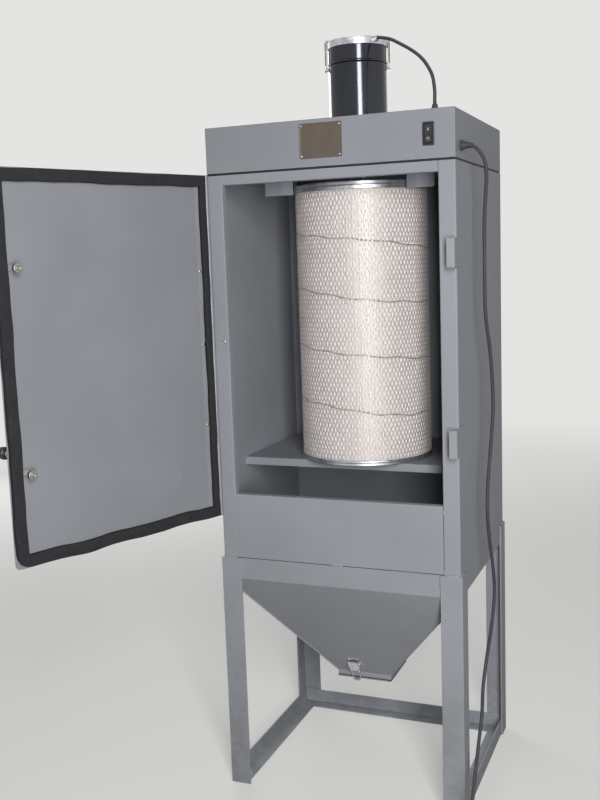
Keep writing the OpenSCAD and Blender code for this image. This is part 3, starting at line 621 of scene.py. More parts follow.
painted = paintFinish("satinPaint", paint)
# the top box's, the door's and the chamber's copies of the paint are darkened by shade: painted shade where
# less light falls on the top box, the open door's inner face and the inside of the chamber
boxPaint = paintFinish("boxPaint", paint, shade=0.91)
doorPaint = paintFinish("doorPaint", paint, grime=0.15, shade=0.86)
insidePaintShaded = paintFinish("chamberPaintShaded", paint, grime=0.05, shade=0.94, shine=0.08)
standPaint = paintFinish("standPaint", {**paint, "light": ink(164, 168, 174), "dark": ink(153, 157, 162.5)},
                         grime=0.35)
galvanised = zincFinish("galvanisedSheet", zinc)
chromeDarkReflected = chromeDarkReflectionFinish("chromeDarkReflection", chromeDarkReflection)
plated = brightFinish("brightPlating", bright)
leafPaint = paintFinish("leafPaint", {**paint, "roughness": 0.28}, grime=0.1, shine=0.55)
hingeSteel = brightFinish("hingeSteel",
                          {"base": ink(150, 152, 158), "dull": ink(126, 128, 134), "roughness": 0.44})
nutSteel = brightFinish("nutSteel",
                        {"base": ink(176, 173, 164), "dull": ink(118, 115, 108), "roughness": 0.22})
sleeveZinc = brightFinish("sleeveZinc",
                          {"base": ink(232, 236, 245), "dull": ink(206, 211, 222), "roughness": 0.38,
                           "metal": 0.15})
studSteel = brightFinish("studSteel",
                         {"base": ink(228, 228, 230), "dull": ink(190, 189, 186), "roughness": 0.20})
clipSteel = brightFinish("clipSteel",
                         {"base": ink(120, 118, 114), "dull": ink(88, 86, 83), "roughness": 0.34})
darkRubber = rubberFinish("darkRubber", rubber)
boxSeal = rubberFinish("boxSeal", {"base": ink(20, 20, 23), "chalk": ink(40, 40, 43), "roughness": 0.62})
cordJacket = jacketFinish("cordJacket", jacket)
foamSkin = foamFinish("openFoam", foam)
strands = strandFinish("strandSteel", strandSteel)
hotGlue = glueFinish("hotGlue", glue)
tin = plateFinish("brushedTin", plateTin)
moulded = mouldedFinish("mouldedBlack", shinyBlack)
knobBlack = mouldedFinish("knobBlack", {**shinyBlack, "roughness": 0.22}, grain=1500)
markWhite = markFinish("markWhite")
# the welds' worn colour is paler than the paint's and lies on most of their edges: partly wear, partly a
# painted highlight for their glints
weldPaintGlint = paintFinish("weldPaintGlint",
                        {**paint, "edgeWear": 0.9, "worn": ink(226, 229, 233), "roughness": 0.20}, grime=0.1,
                        shine=0.6)
print("materials made")


# Cords come first: the power cord with its coil, strain relief and plug, then the motor's lead.

mains = {
    "radius": 0.004,
    "strand": 0.0042,
    "gland": (0.292, -0.421, 1.522),
    "nutLong": 0.013,
    "bends": (0.032, 0.062),  # radius from level down to 45 degrees, and from there to straight down
    "boot": {"turn": 25, "from": 0.0074, "to": 0.0054, "rib": 0.0008, "ribs": 5},
    "coil": (0.404, -0.6784),
    "coilRadius": 0.046,
    "plugStart": 0.0426,
    "plugRadius": 0.014,
    "route": [
        (346, -417, 1452), (342, -411, 1408), (338, -405, 1355), (337, -402, 1290),
        (337, -403, 1220), (338, -399, 1155), (341, -370, 1075), (342, -352, 1005), (342, -348, 940),
        (340, -362, 870), (338, -386, 795), (337, -396, 728), (338, -383, 655), (340, -356, 583),
        (341, -343, 510), (339, -369, 438), (336, -412, 378), (333, -441, 318), (332, -453, 258),
        (331, -488, 200), (331, -527, 146), (333, -567, 91), (345, -601, 43), (357, -615, 23),
        (378, -625, 9), (404, -628.2, 4.2)],
}


def bendAt(m, degrees):
    # two arcs end to end in the X-Z plane: x grows by r sin a and z falls by r (1 - cos a) on each
    a = np.radians(np.atleast_1d(degrees).astype(float))
    first, second = np.minimum(a, np.pi / 4), np.maximum(a, np.pi / 4)
    tight, wide = m["bends"]
    out = tight * np.sin(first) + wide * (np.sin(second) - math.sqrt(0.5))
    drop = tight * (np.cos(first) - 1) + wide * (np.cos(second) - math.sqrt(0.5))
    return np.array(m["gland"]) + np.stack([m["nutLong"] + out, 0 * a, drop], 1)


def cordPath(m):
    # a short straight inside the boot, the boot's bend, then a smooth line through the route's points
    turn = math.radians(m["boot"]["turn"])
    bend = bendAt(m, np.linspace(m["boot"]["turn"], 86, 13))
    start = bend[0] - 0.003 * np.array([math.cos(turn), 0, -math.sin(turn)])
    run = smoothPath(np.concatenate([bendAt(m, 90), np.array(m["route"]) / 1000]), 0.006)
    # coil: angle q clockwise from the back; the radius shifts in and out by a strand's width and the
    # height steps up where a turn would meet the one before
    q = np.radians(np.arange(3, 4 * 360 + 1, 3))
    wide = m["coilRadius"] + m["strand"] - 2 * m["strand"] * (
        ease((q - math.radians(360 - 78)) / math.radians(52))
        - ease((q - math.radians(1080 - 178)) / math.radians(52)))
    high = m["strand"] + 2 * m["strand"] * (ease((q - math.radians(720 - 128)) / math.radians(52))
                                            + ease((q - math.radians(1440 - 240)) / math.radians(56)))
    x0, y0 = m["coil"]
    turns = np.stack([x0 + wide * np.sin(q), y0 + wide * np.cos(q), high], 1)
    out = np.linspace(0.003, m["plugStart"] + 0.004, 14)
    drop = high[-1] + (m["plugRadius"] - high[-1]) * ease((out - 0.012) / 0.034)
    tail = np.stack([x0 + out, np.full_like(out, y0 + m["coilRadius"] + m["strand"]), drop], 1)
    return np.concatenate([[start], bend, run, turns, tail])


def addAlongMap(piece, rings, sides, length):
    # u is the share of the way round and v of the way along, for each corner of the tube's quads
    mesh = piece.data
    count = len(mesh.loops)
    vertex = np.zeros(count, int)
    mesh.loops.foreach_get("vertex_index", vertex)
    around, along = (vertex % sides) / sides, (vertex // sides) / rings * length
    mesh.uv_layers.new(name="along").data.foreach_set("uv",
                                                      np.stack([around, along], 1).astype(np.float32).ravel())


cordLine = cordPath(mains)
cordSides = 14
cordPiece = addPiece("powerCord", tube(cordLine, mains["radius"], cordSides), cordJacket,
                     stands=("power_cord", "cord_coil"))
addAlongMap(cordPiece, len(cordLine), cordSides, pathLength(cordLine))


def reliefShape(m):
    # a flange and nut turned round X, and a boot whose radius shrinks along the cord's own bend in steps
    nut = lathe(softened([(0.0040, 0), (0.0113, 0), (0.0115, 0.0012), (0.0115, 0.0046), (0.0104, 0.0058),
                          (0.0093, 0.0061),
                          (0.0088, 0.0080), (0.0081, 0.0122), (0.0072, m["nutLong"]),
                          (0.0040, m["nutLong"])], 0.0006),
                m["gland"], "x", 40)
    b = m["boot"]
    share = np.linspace(0, 1, 60)
    radius = b["from"] + (b["to"] - b["from"]) * share - b["rib"] * (np.sin(2 * np.pi * b["ribs"]
            * share) < -0.1)
    radius[-3:] *= [0.97, 0.90, 0.82]
    line = bendAt(m, share * b["turn"] * 0.95)
    return gathered([nut, tube(line, radius, 32)])


relief = addPiece("strainRelief", reliefShape(mains), darkRubber, stands=("cord_gland",),
                  sharp=50)

# plug: body with finger grips, face, two blades and an earth pin
plugFrom = np.array([mains["coil"][0] + mains["plugStart"],
                     mains["coil"][1] + mains["coilRadius"] + mains["strand"], mains["plugRadius"]])
plug = {"neck": 0.0062, "girth": 0.0126, "neckLong": 0.016, "grips": 5, "gripDeep": 0.0007, "flat": 0.15,
        "bladeOut": 0.0065, "bladeHalf": 0.00075}


def plugShape(p):
    # the neck's radius eases from neck to girth, less gripDeep where sin(2 pi grips s) > 0.2, then the
    # barrel's profile; the round is flattened on two sides by flat (|cos a| - 0.8)
    s = np.linspace(0, 1, 60)
    neck = p["neck"] + (p["girth"] - p["neck"]) * ease(s * 1.15)
    neck = neck - p["gripDeep"] * (np.sin(s * 2 * np.pi * p["grips"]) > 0.2) * (s < 0.62)
    barrel = softened([(p["girth"], 0.0160), (0.0139, 0.0180), (0.0139, 0.0385), (0.0128, 0.0400),
                       (0.0040, 0.0400)], 0.0011, 5)
    return lathe(np.concatenate([np.stack([neck, p["neckLong"] * s], 1), barrel]), plugFrom, "x", 48,
                 wave=lambda a: 1 - p["flat"] * np.clip(np.abs(np.cos(a)) - 0.8, 0, 1))


plugBody = addPiece("plugBody", plugShape(plug), moulded, stands=("plug",), sharp=40)


def bladeShape(side, p):  # a rounded oblong in the X-Z plane, twice bladeHalf thick
    y, z = plugFrom[1] + side * p["bladeOut"], plugFrom[2]
    outline = rounded([(0.0396, z - 0.0002), (0.057, z - 0.0002), (0.057, z + 0.0062), (0.0396, z + 0.0062)],
                      [0.0002, 0.0015, 0.0015, 0.0002]) + [plugFrom[0], 0]
    return extruded(outline, y - p["bladeHalf"], y + p["bladeHalf"], "xzy", 0.0002)


earthPin = lathe(softened([(0.0005, 0.0395), (0.0024, 0.0395), (0.0024, 0.0575), (0.0016, 0.0597),
                           (0.0004, 0.0600)], 0.001),
                 plugFrom - [0, 0, 0.0070], "x", 24)
plugPins = addPiece("plugPins", gathered([bladeShape(-1, plug), bladeShape(1, plug), earthPin]), plated,
                    sharp=40)

# tie: a band round the four strands, a rounded square standing across the coil
tieAt = math.radians(62)
tieOut = np.array([math.sin(tieAt), math.cos(tieAt), 0])
tieAlong = np.array([math.cos(tieAt), -math.sin(tieAt), 0])
tieRing = rounded([(-0.0088, 0.0004), (0.0088, 0.0004), (0.0088, 0.0176), (-0.0088, 0.0176)], 0.0036, 6)
tieLoop = [(0.0, -0.0042), (0.0, 0.0042), (0.0009, 0.0042), (0.0009, -0.0042)]
tieGrid = np.stack([inset(tieRing, back)[:, :1] * tieOut + inset(tieRing, back)[:, 1:] * [0, 0, 1] + wide
                    * tieAlong
                    for back, wide in tieLoop], 1) + [*mains["coil"], 0] + mains["coilRadius"] * tieOut
cordTie = addPiece("cordTie", shell(tieGrid, loop=True), darkRubber, sharp=40)

lead = {
    "radius": 0.0038, "turn": -34, "headRadius": 0.072, "reach": 0.009, "headMiddle": 1.795,
    "grommet": (0.242, -0.441, 1.610),
    "route": [(107, -310, 1781), (141, -342, 1761), (180, -381, 1735), (207, -407, 1712), (226, -426, 1688),
              (237, -436, 1667), (242, -441, 1640), (242, -441, 1622)],
}
turn = math.radians(lead["turn"])
leadWay = np.array([math.cos(turn), math.sin(turn), 0])
leadStart = np.array([0, middleY, lead["headMiddle"]]) + (lead["headRadius"] + lead["reach"]) * leadWay
leadLine = np.concatenate([[leadStart], smoothPath(np.concatenate([[leadStart + 0.005 * leadWay],
                           np.array(lead["route"]) / 1000]), 0.006), [lead["grommet"]]])
leadPiece = addPiece("motorLead", tube(leadLine, lead["radius"], cordSides), cordJacket,
                     stands=("motor_lead",))
addAlongMap(leadPiece, len(leadLine), cordSides, pathLength(leadLine))
grommetFoot = np.array([lead["grommet"][0], lead["grommet"][1], boxHigh[2]])
grommetShape = lathe(softened([(0.0040, 0), (0.0090, 0), (0.0090, 0.0026), (0.0080, 0.0042), (0.0065, 0.0048),
                               (0.0063, 0.0080), (0.0052, 0.0120), (0.0039, 0.0120)], 0.0009), grommetFoot,
                               "z", 36)
grommetPiece = addPiece("leadGrommet", grommetShape, darkRubber, stands=("lead_grommet",),
                        sharp=45)
print("cords laid, power cord", round(pathLength(cordLine), 3), "m, motor lead",
      round(pathLength(leadLine), 3), "m")


# The cabinet's folded sheet.

sheet = {"thick": 0.002, "post": 0.038, "lip": 0.018, "bend": 0.0046, "inner": 0.0018, "free": 0.0005,
         "lipBend": 0.0036, "lipInner": 0.0016, "head": 0.023, "lowerPanel": 0.158, "wing": 0.025,
         "wingLean": 0.010, "seamGap": 0.0014}


def addSheet(name, part, corners, radii, low, high, axes, finish=painted, edge=0.0005):
    # a folded section with rounded corners, carried from low to high
    return addPiece(name, extruded(rounded(corners, radii), low, high, axes, edge), finish, stands=(part,),
                    sharp=38)


def addWall(side):  # side wall, folded round the front post and back at the door opening
    s = sheet
    x, y, t = halfWidth * side, frontY, s["thick"]
    corners = [(x, backY), (x, y), (x - side * s["post"], y), (x - side * s["post"], y + s["lip"]),
               (x - side * (s["post"] - t), y + s["lip"]), (x - side * (s["post"] - t), y + t),
               (x - side * t, y + t), (x - side * t, backY)]
    radii = [s["free"], s["bend"], 0.0030, s["free"], s["free"], s["inner"], s["inner"], s["free"]]
    word = "Right" if side > 0 else "Left"
    addSheet("wall" + word, "side_panel_" + word.lower(), corners, radii, seamZ, bodyTop, "xyz")


addWall(-1)
addWall(1)
inner = halfWidth - sheet["post"]
free = sheet["free"]
lipRadii = [free, sheet["lipBend"], free, free, sheet["lipInner"], free]


def lipped(front, back, end, fold):
    # section of a plate that stands at the front from end to fold, and turns back there
    wall = sheet["thick"]
    inside = fold + math.copysign(wall, end - fold)
    return [(front, end), (front, fold), (back, fold), (back, inside), (front + wall, inside),
            (front + wall, end)]


lipY = frontY + sheet["lip"]
addSheet("headRail", "head_rail", lipped(frontY, lipY, bodyTop, bodyTop - sheet["head"]), lipRadii,
         -inner, inner, "yzx")
addSheet("lowerPanel", "lower_front_panel",
         lipped(frontY, lipY, seamZ + sheet["seamGap"], seamZ + sheet["lowerPanel"]),
         [free * 1.6, *lipRadii[1:]], -inner + 0.0004, inner - 0.0004, "yzx", edge=0.0008)
shelfLow, shelfHigh = span("shelf")
addSheet("cartridgeShelf", "shelf", lipped(shelfLow[1], shelfHigh[1], shelfLow[2], shelfHigh[2]), lipRadii,
         shelfLow[0], shelfHigh[0], "yzx", insidePaintShaded)


def guideShape(side):
    # an upright plate whose inner strip leans back, drawn in plan,
    # and the fold under the ceiling, drawn in section
    low, high = span("guide_right")
    y, t, wing, lean = low[1], sheet["thick"], sheet["wing"], sheet["wingLean"]
    x0, x1, x2 = side * low[0], side * (low[0] + wing), side * high[0]
    plan = rounded([(x2, y), (x1, y), (x0, y + lean), (x0 + side * 0.0007, y + lean + 0.0019),
                    (x1 + side * 0.0004, y + t),
                    (x2, y + t)], [0.0005, 0.0060, 0.0007, 0.0007, 0.0050, 0.0005])
    fold = rounded([(y + 0.0004, high[2] - 0.0036), (y + 0.0004, high[2]), (high[1], high[2]),
                    (high[1], high[2] - t),
                    (y + t, high[2] - t), (y + t, high[2] - 0.0036)],
                    [0.0004, 0.0024, 0.0006, 0.0006, 0.0008, 0.0004])
    return gathered([extruded(plan, low[2], high[2] - 0.0010, "xyz", 0.0005),
                     extruded(fold, x1, x2, "yzx", 0.0005)])


for side, word in ((-1, "left"), (1, "right")):
    addPiece("guide" + word.title(), guideShape(side), insidePaintShaded, stands=("guide_" + word,),
             sharp=38)
keeper = {"thick": 0.0025, "bend": 0.0040, "soft": 0.0012}


def addKeeper(word, k):  # an L in plan: a plate on the cabinet's side whose front turns inwards
    (left, front, foot), (right, back, top) = span("keeper_" + word)
    wall, soft = k["thick"], k["soft"]
    corners = [(right, back), (right, front), (left, front), (left, front + wall),
               (right - wall, front + wall), (right - wall, back)]
    addSheet("keeper" + word.title(), "keeper_" + word, corners, [free, k["bend"], soft, soft, soft, free],
             foot, top, "xyz", edge=0.0007)


addKeeper("upper", keeper)
addKeeper("lower", keeper)
print("cabinet folded")


def camel(part):  # leg_front_left becomes legFrontLeft
    first, *rest = part.split("_")
    return first + "".join(word.title() for word in rest)


def broken(part, width, finish):
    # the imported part's own mesh, merged, with a bevel of that width along its edges
    piece = bpy.data.objects.new(camel(part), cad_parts[part].data.copy())
    bpy.context.scene.collection.objects.link(piece)
    weld = piece.modifiers.new("weld", "WELD")
    weld.merge_threshold = 0.00002
    edge = piece.modifiers.new("edge", "BEVEL")
    edge.width, edge.segments, edge.limit_method, edge.angle_limit = width, 2, "ANGLE", math.radians(28)
    edge.harden_normals = False
    graph = bpy.context.evaluated_depsgraph_get()
    done = bpy.data.meshes.new_from_object(piece.evaluated_get(graph))
    piece.modifiers.clear()
    piece.data = done
    done.materials.clear()
    done.materials.append(finish)
    done.polygons.foreach_set("use_smooth", np.ones(len(done.polygons), bool))
    done.set_sharp_from_angle(angle=math.radians(32))
    evenShade(piece)
    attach(piece, "cabinet")
    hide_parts(part)


edgeWidths = {
    ("leg_front_left", "leg_front_right", "leg_rear_left", "leg_rear_right"): (0.0013, standPaint),
    ("base_rail_left", "base_rail_right", "base_rail_rear"): (0.0012, standPaint),
    ("hopper_front", "hopper_rear", "hopper_left", "hopper_right", "outlet_cover"): (0.0006, painted),
    ("outlet_collar",): (0.0005, painted),
}
for parts, (width, finish) in edgeWidths.items():
    for part in parts:
        broken(part, width, finish)
print("stand and hopper dressed")


hood = {"wall": 0.002, "corner": 0.0024, "fold": 0.0022}


def hoodShape(low, high, h):
    # the same rounded rectangle at each level: up the inside, over the rim, up the outside and over the top
    corners = [(low[0], low[1]), (high[0], low[1]), (high[0], high[1]), (low[0], high[1])]
    ring = rounded(corners, h["corner"], 6)
    w, r = h["wall"], h["fold"]
    q = np.radians(np.linspace(0, 90, 6))
    levels = [(w, high[2] - w), (w, low[2] + 0.0003), (w * 0.7, low[2]), (w * 0.3, low[2]),
              (0, low[2] + 0.0004)]
    levels += list(zip(r * (1 - np.cos(q)), high[2] - r + r * np.sin(q)))
    return shell(np.stack([placed(g[:, 0], g[:, 1], z, "xyz") for g,
                           z in ((inset(ring, b), z) for b, z in levels)]))


addPiece("hood", hoodShape(boxLow, boxHigh, hood), boxPaint, stands=("top_box",), sharp=38)

plateLow, plateHigh = span("nameplate")
plateOutline = rounded([(plateLow[0], plateLow[2]), (plateHigh[0], plateLow[2]), (plateHigh[0], plateHigh[2]),
                        (plateLow[0], plateHigh[2])], 0.0045)
rim = inset(plateOutline, 0.0022)
rimIn = inset(plateOutline, 0.0030)
plateLevels = [(plateOutline, plateHigh[1]), (plateOutline, plateLow[1] + 0.0003),
               (inset(plateOutline, 0.0003), plateLow[1]), (rim, plateLow[1]), (rimIn, plateLow[1] + 0.0003)]
addPiece("bareplate", shell(np.stack([placed(o[:, 0], o[:, 1], y, "xzy") for o, y in plateLevels])), tin,
         stands=("nameplate",), flat=True)
corner = [(x, plateLow[1], z) for x in (plateLow[0] + 0.0055, plateHigh[0] - 0.0055)
          for z in (plateLow[2] + 0.0055, plateHigh[2] - 0.0055)]
addPiece("plateRivets", domes(corner, [(0, -1, 0)] * 4, 0.0022, 0.0010), plated)

# switch: bezel with rounded edges and a rocker whose face is pressed in above
switchLow, switchHigh = span("rocker_switch")
sx, sz = (switchLow[0] + switchHigh[0]) / 2, (switchLow[2] + switchHigh[2]) / 2
hw, hh = (switchHigh[0] - switchLow[0]) / 2, (switchHigh[2] - switchLow[2]) / 2
bezel = rounded([(sx - hw, sz - hh), (sx + hw, sz - hh), (sx + hw, sz + hh), (sx - hw, sz + hh)], 0.004, 6)
bezelLevels = [(0, frontY), (0, frontY - 0.0018), (0.0004, frontY - 0.0026), (0.0012, frontY - 0.0030),
               (0.0034, frontY - 0.0030), (0.0040, frontY - 0.0024), (0.0042, frontY - 0.0004)]
addPiece("switchBezel", shell(np.stack([placed(o[:, 0], o[:, 1], y, "xzy")
         for o, y in ((inset(bezel, b), y) for b, y in bezelLevels)])), moulded, stands=("rocker_switch",),
         sharp=35)
face = [(frontY - 0.0004, sz - hh + 0.0048), (frontY - 0.0078, sz - hh + 0.0050),
        (frontY - 0.0072, sz - hh + 0.0080),
        (frontY - 0.0030, sz + 0.0005), (frontY - 0.0042, sz + hh - 0.0076),
        (frontY - 0.0040, sz + hh - 0.0052), (frontY - 0.0004, sz + hh - 0.0050)]
addPiece("switchRocker", extruded(rounded(face, [0.0003, 0.0012, 0.002, 0.006, 0.002, 0.0008, 0.0003], 6),
         sx - hw + 0.0046, sx + hw - 0.0046, "yzx", 0.0006), moulded, sharp=40)
barOutline = rounded([(sx - 0.0007, sz + 0.0065), (sx + 0.0007, sz + 0.0065), (sx + 0.0007, sz + 0.0125),
                      (sx - 0.0007, sz + 0.0125)], 0.0003)
ringTurn = np.radians(np.arange(0, 360, 10))[:, None]
ringLine = np.array([sx, 0, sz - 0.0105]) + 0.0026 * np.concatenate([np.cos(ringTurn), 0 * ringTurn,
                                                                     np.sin(ringTurn)], 1)
ringLine[:, 1] = frontY - 0.0030 - 0.0042 * (sz - ringLine[:, 2]) / (hh - 0.008)
addPiece("switchMarks", gathered([extruded(barOutline, frontY - 0.0043, frontY - 0.0030, "xzy"),
         tube(ringLine, 0.0005, 8, loop=True)]), markWhite, sharp=40)
print("top box dressed")


can = {"radius": 0.069, "foot": 0.005, "footThick": 0.003, "beadDown": 0.040, "bead": 0.003, "sides": 144}
canLow, canHigh = span("motor_canister")
base, head = canLow[2], canHigh[2]


def canProfile(c):
    # radius and height: foot flange, wall, and a half-round of radius bead pressed out below the head
    r = c["radius"]
    up = np.linspace(-1, 1, 13)
    ring = np.stack([r - 0.001 + np.sqrt(np.clip(1 - up ** 2, 0, 1)) * c["bead"],
                     head - c["beadDown"] + up * c["bead"]], 1)
    foot = softened([(r - 0.010, base), (r + c["foot"], base), (r + c["foot"], base + c["footThick"]),
                     (r, base + c["footThick"]), (r, base + 0.012)], 0.0014)
    ring = ring[ring[:, 0] >= r]
    groove = [(r, ring[0, 1] - 0.0030), (r - 0.0006, ring[0, 1] - 0.0010)]
    over = [(r - 0.0006, ring[-1, 1] + 0.0010), (r, ring[-1, 1] + 0.0030)]
    return np.concatenate([foot, groove, ring, over, [(r, head), (r - 0.004, head)]])


addPiece("motorCan", lathe(canProfile(can), (0, middleY, 0), "z", can["sides"]), chromeDarkReflected,
         stands=("motor_canister",), sharp=32)

lidHigh = span("canister_head")[1][2]
lid = softened([(0.0694, head + 0.0010), (0.0694, head - 0.0040), (0.0716, head - 0.0040),
                (0.0720, head - 0.0028), (0.0720, head + 0.0100), (0.0716, head + 0.0118),
                (0.0700, head + 0.0136), (0.0680, lidHigh), (0.0645, lidHigh), (0.0622, lidHigh - 0.0016),
                (0.0600, lidHigh - 0.0040), (0.0300, lidHigh - 0.0040), (0.0285, lidHigh - 0.0030),
                (0.0100, lidHigh - 0.0030)], 0.0009, 4)
middle = np.array([0, middleY, 0])
stubFrom = middle + 0.066 * leadWay + [0, 0, lead["headMiddle"]]


def towards(points, way, start):  # turns a shape drawn along X so that it points that way in plan
    x, y = points[:, 0], points[:, 1]
    return np.stack([x * way[0] - y * way[1], x * way[1] + y * way[0], points[:, 2]], 1) + start


glandTurned = lathe(softened([(0.0040, 0), (0.0062, 0), (0.0062, 0.0060), (0.0080, 0.0062), (0.0080, 0.0110),
                              (0.0060, 0.0118),
                       (0.0056, 0.0150), (0.0039, 0.0150)], 0.0006), (0, 0, 0), "x", 36,
             wave=lambda a: 1 - 0.05 * np.abs(np.sin(3 * a)))
gland = (towards(glandTurned[0], leadWay, stubFrom), glandTurned[1])
addPiece("canLid", lathe(lid, (0, middleY, 0), "z", can["sides"]), galvanised, stands=("canister_head",),
         sharp=34)
addPiece("lidGland", gland, plated, sharp=34)
screws = [(0.050 * math.cos(a), middleY + 0.050 * math.sin(a), lidHigh - 0.0040)
          for a in np.radians([40, 130, 220, 310])]
addPiece("lidScrews", domes(screws, [(0, 0, 1)] * 4, 0.0040, 0.0024), plated)


def clipShape(turnBy):
    # the clip's outline in radius and height, rounded, 14 mm wide, turned round the canister
    r, g, t = can["radius"], 0.0033, 0.003
    low = head - 0.052
    corners = [(r + 0.0003, low + 0.007), (r + g, low + 0.007), (r + g, head + 0.0143),
               (r - 0.006, head + 0.0143),
               (r - 0.006, head + 0.0173), (r + g + t, head + 0.0173), (r + g + t, low + 0.004),
               (r + g + t + 0.003, low - 0.001),
               (r + g + t + 0.003, low - 0.005), (r + g + t, low - 0.001), (r + 0.0003, low)]
    points, blocks = extruded(rounded(corners,
                                      [0.0004, 0.0004, 0.0008, 0.0008, 0.0008, 0.0020, 0.002, 0.002, 0.0014,
                              0.002, 0.001]), -0.007, 0.007, "xzy", 0.0006)
    way = np.array([math.cos(math.radians(turnBy)), math.sin(math.radians(turnBy)), 0])
    return towards(points, way, middle), blocks


def clipWire(turnBy):  # spring wire over the strap's face, from the hook to the lever
    way = np.array([math.cos(math.radians(turnBy)), math.sin(math.radians(turnBy)), 0])
    side = np.array([-way[1], way[0], 0])
    r = can["radius"] + 0.0075
    line = [(-0.0045, 0.0125), (-0.0048, 0.004), (-0.0048, -0.022), (-0.0034, -0.036), (0.0034, -0.036),
            (0.0048, -0.022), (0.0048, 0.004), (0.0045, 0.0125)]
    path = np.array([middle + r * way + s * side + [0, 0, head + z] for s, z in line])
    return tube(smoothPath(path, 0.0016), 0.0010, 10)


addPiece("lidClips", gathered([clipShape(20), clipShape(200)]), clipSteel, stands=("canister_clips",),
         sharp=40)
addPiece("clipWires", gathered([clipWire(20), clipWire(200)]), clipSteel)
print("canister dressed")


# The cartridge: pleats, caps, expanded metal and glue rings.

cartridge = {
    "outer": 0.1578, "depth": 0.007, "pleats": 132, "pointsPerPleat": 8,
    "meshRadius": 0.1598, "cells": 100, "cellHeight": 0.0213, "strandWide": 0.0021, "strandThick": 0.0009,
    "rings": 4, "ringRadius": 0.0017, "ringTilt": 0.0205,
    "ringLowest": 10,  # lowest at so many degrees from +X to +Y
    "rimTop": 0.0185, "rimBottom": 0.0125,
}
capLow, capTop = span("filter_bottom_cap")[0], span("filter_top_cap")[1]
z0, z1 = capLow[2], capTop[2]
capR = span("filter_bottom_cap")[1][0]


def pleatShape(c, low, high):
    # radius = outer - depth (1 - |cos(pleats a / 2)|^0.7), each fold leaning a little by itself
    n = c["pleats"] * c["pointsPerPleat"]
    a = np.linspace(0, 2 * np.pi, n, endpoint=False)
    z = np.linspace(low, high, 26)[:, None]
    lean = 0.0016 * np.sin(7 * a + 9 * z) + 0.0012 * np.sin(19 * a - 31 * z)
    fold = np.abs(np.cos(c["pleats"] * (a + lean) / 2)) ** 0.7
    r = c["outer"] - c["depth"] * (1 - fold)
    return shell(placed(r * np.cos(a), middleY + r * np.sin(a), z, "xyz"))


def strandShape(c, low, high):
    # row j is a zigzag ring, z = zj + (-1)^(j+k) h/4 at corner k, mirrored from row to row so that
    # neighbours meet at their peaks; each strand is a flat bar lying on the cylinder
    rows = int((high - low) / (c["cellHeight"] / 2))
    pitch = (high - low) / rows
    k = np.arange(2 * c["cells"])
    a = np.pi * k / c["cells"]
    j = np.arange(rows)[:, None]
    up = np.where((j + k) % 2 == 0, 1.0, -1.0)
    z = low + (j + 0.5) * pitch + up * pitch / 2 * 0.93
    half = c["strandWide"] / 2 / math.sin(math.atan2(np.pi * c["meshRadius"] / c["cells"], pitch))
    corner = [(-1, -0.5), (1, -0.5), (1, 0.5), (-1, 0.5)]  # across the strand, and through its thickness
    shapes = np.stack([placed((c["meshRadius"] + v * c["strandThick"]) * np.cos(a) + 0 * z,
                              middleY + (c["meshRadius"] + v * c["strandThick"]) * np.sin(a) + 0 * z,
                              z + s * half, "xyz") for s, v in corner], 2)
    index = np.arange(rows * len(k) * 4).reshape(rows, len(k), 4)
    ahead = np.roll(index, -1, 1)
    quads = np.stack([index, ahead, np.roll(ahead, -1, 2), np.roll(index, -1, 2)], -1).reshape(-1, 4)
    return outwards(shapes.reshape(-1, 3), [quads])


paperWhite = paperFinish("pleatPaper", paper, middleY, cartridge["outer"], cartridge["depth"])
addPiece("pleatPack", pleatShape(cartridge, z0 + 0.0012, z1 - 0.0012), paperWhite, stands=("filter_media",))
addPiece("expandedMetal", strandShape(cartridge, z0 + 0.0100, z1 - 0.0160), strands, flat=True)


def glueRing(c, height):
    # a ring laid on the pleats: z = height - tilt cos(a - lowest), its thickness swelling where it was dabbed
    a = np.linspace(0, 2 * np.pi, 720, endpoint=False)
    r = c["outer"] + 0.0007 + 0.0005 * np.sin(c["pleats"] * a) + wander(a, (0.7, 0.31), 0.0004)
    z = height - c["ringTilt"] * np.cos(a - math.radians(c["ringLowest"]))
    z = z + wander(a, (np.pi, 2 * np.pi / 3, 2 * np.pi / 11), 0.0050)
    thick = c["ringRadius"] * (1 + 0.25 * np.sin(a * 41) * np.sin(a * 17))
    return tube(np.stack([r * np.cos(a), middleY + r * np.sin(a), z], 1), thick, 8, loop=True)


ringHeights = z0 + (z1 - z0) * np.arange(1, cartridge["rings"] + 1) / (cartridge["rings"] + 1)
addPiece("glueRings", gathered([glueRing(cartridge, h) for h in ringHeights]), hotGlue)


def capShape(outerZ, inward, hole, tall):
    # flat disc, rolled corner, rim with a swaged groove and a turned lip; inward is the way the rim points
    rim = softened([(capR - 0.0085, 0), (capR - 0.0012, 0), (capR, 0.0012), (capR, tall * 0.32),
                    (capR - 0.0011, tall * 0.32 + 0.0012),
                    (capR - 0.0011, tall * 0.32 + 0.0028), (capR, tall * 0.32 + 0.0040),
                    (capR, tall - 0.0012), (capR - 0.0010, tall), (capR - 0.0034, tall)], 0.0007, 4)
    if hole:
        profile = np.concatenate([[(hole, 0.0016), (hole, 0.0002)],
                                  softened([(hole + 0.001, 0), (capR - 0.020, 0),
                                  (capR - 0.0185, 0.0006), (capR - 0.0100, 0.0006)], 0.0005), rim])
    else:
        profile = np.concatenate([softened([(0.010, 0.0008), (0.060, 0.0008), (0.062, 0), (capR - 0.020, 0),
                                  (capR - 0.0185, 0.0006), (capR - 0.0100, 0.0006)], 0.0005), rim])
    profile = np.stack([profile[:, 0], outerZ + inward * profile[:, 1]], 1)
    return lathe(profile, (0, middleY, 0), "z", 160, loop=bool(hole))


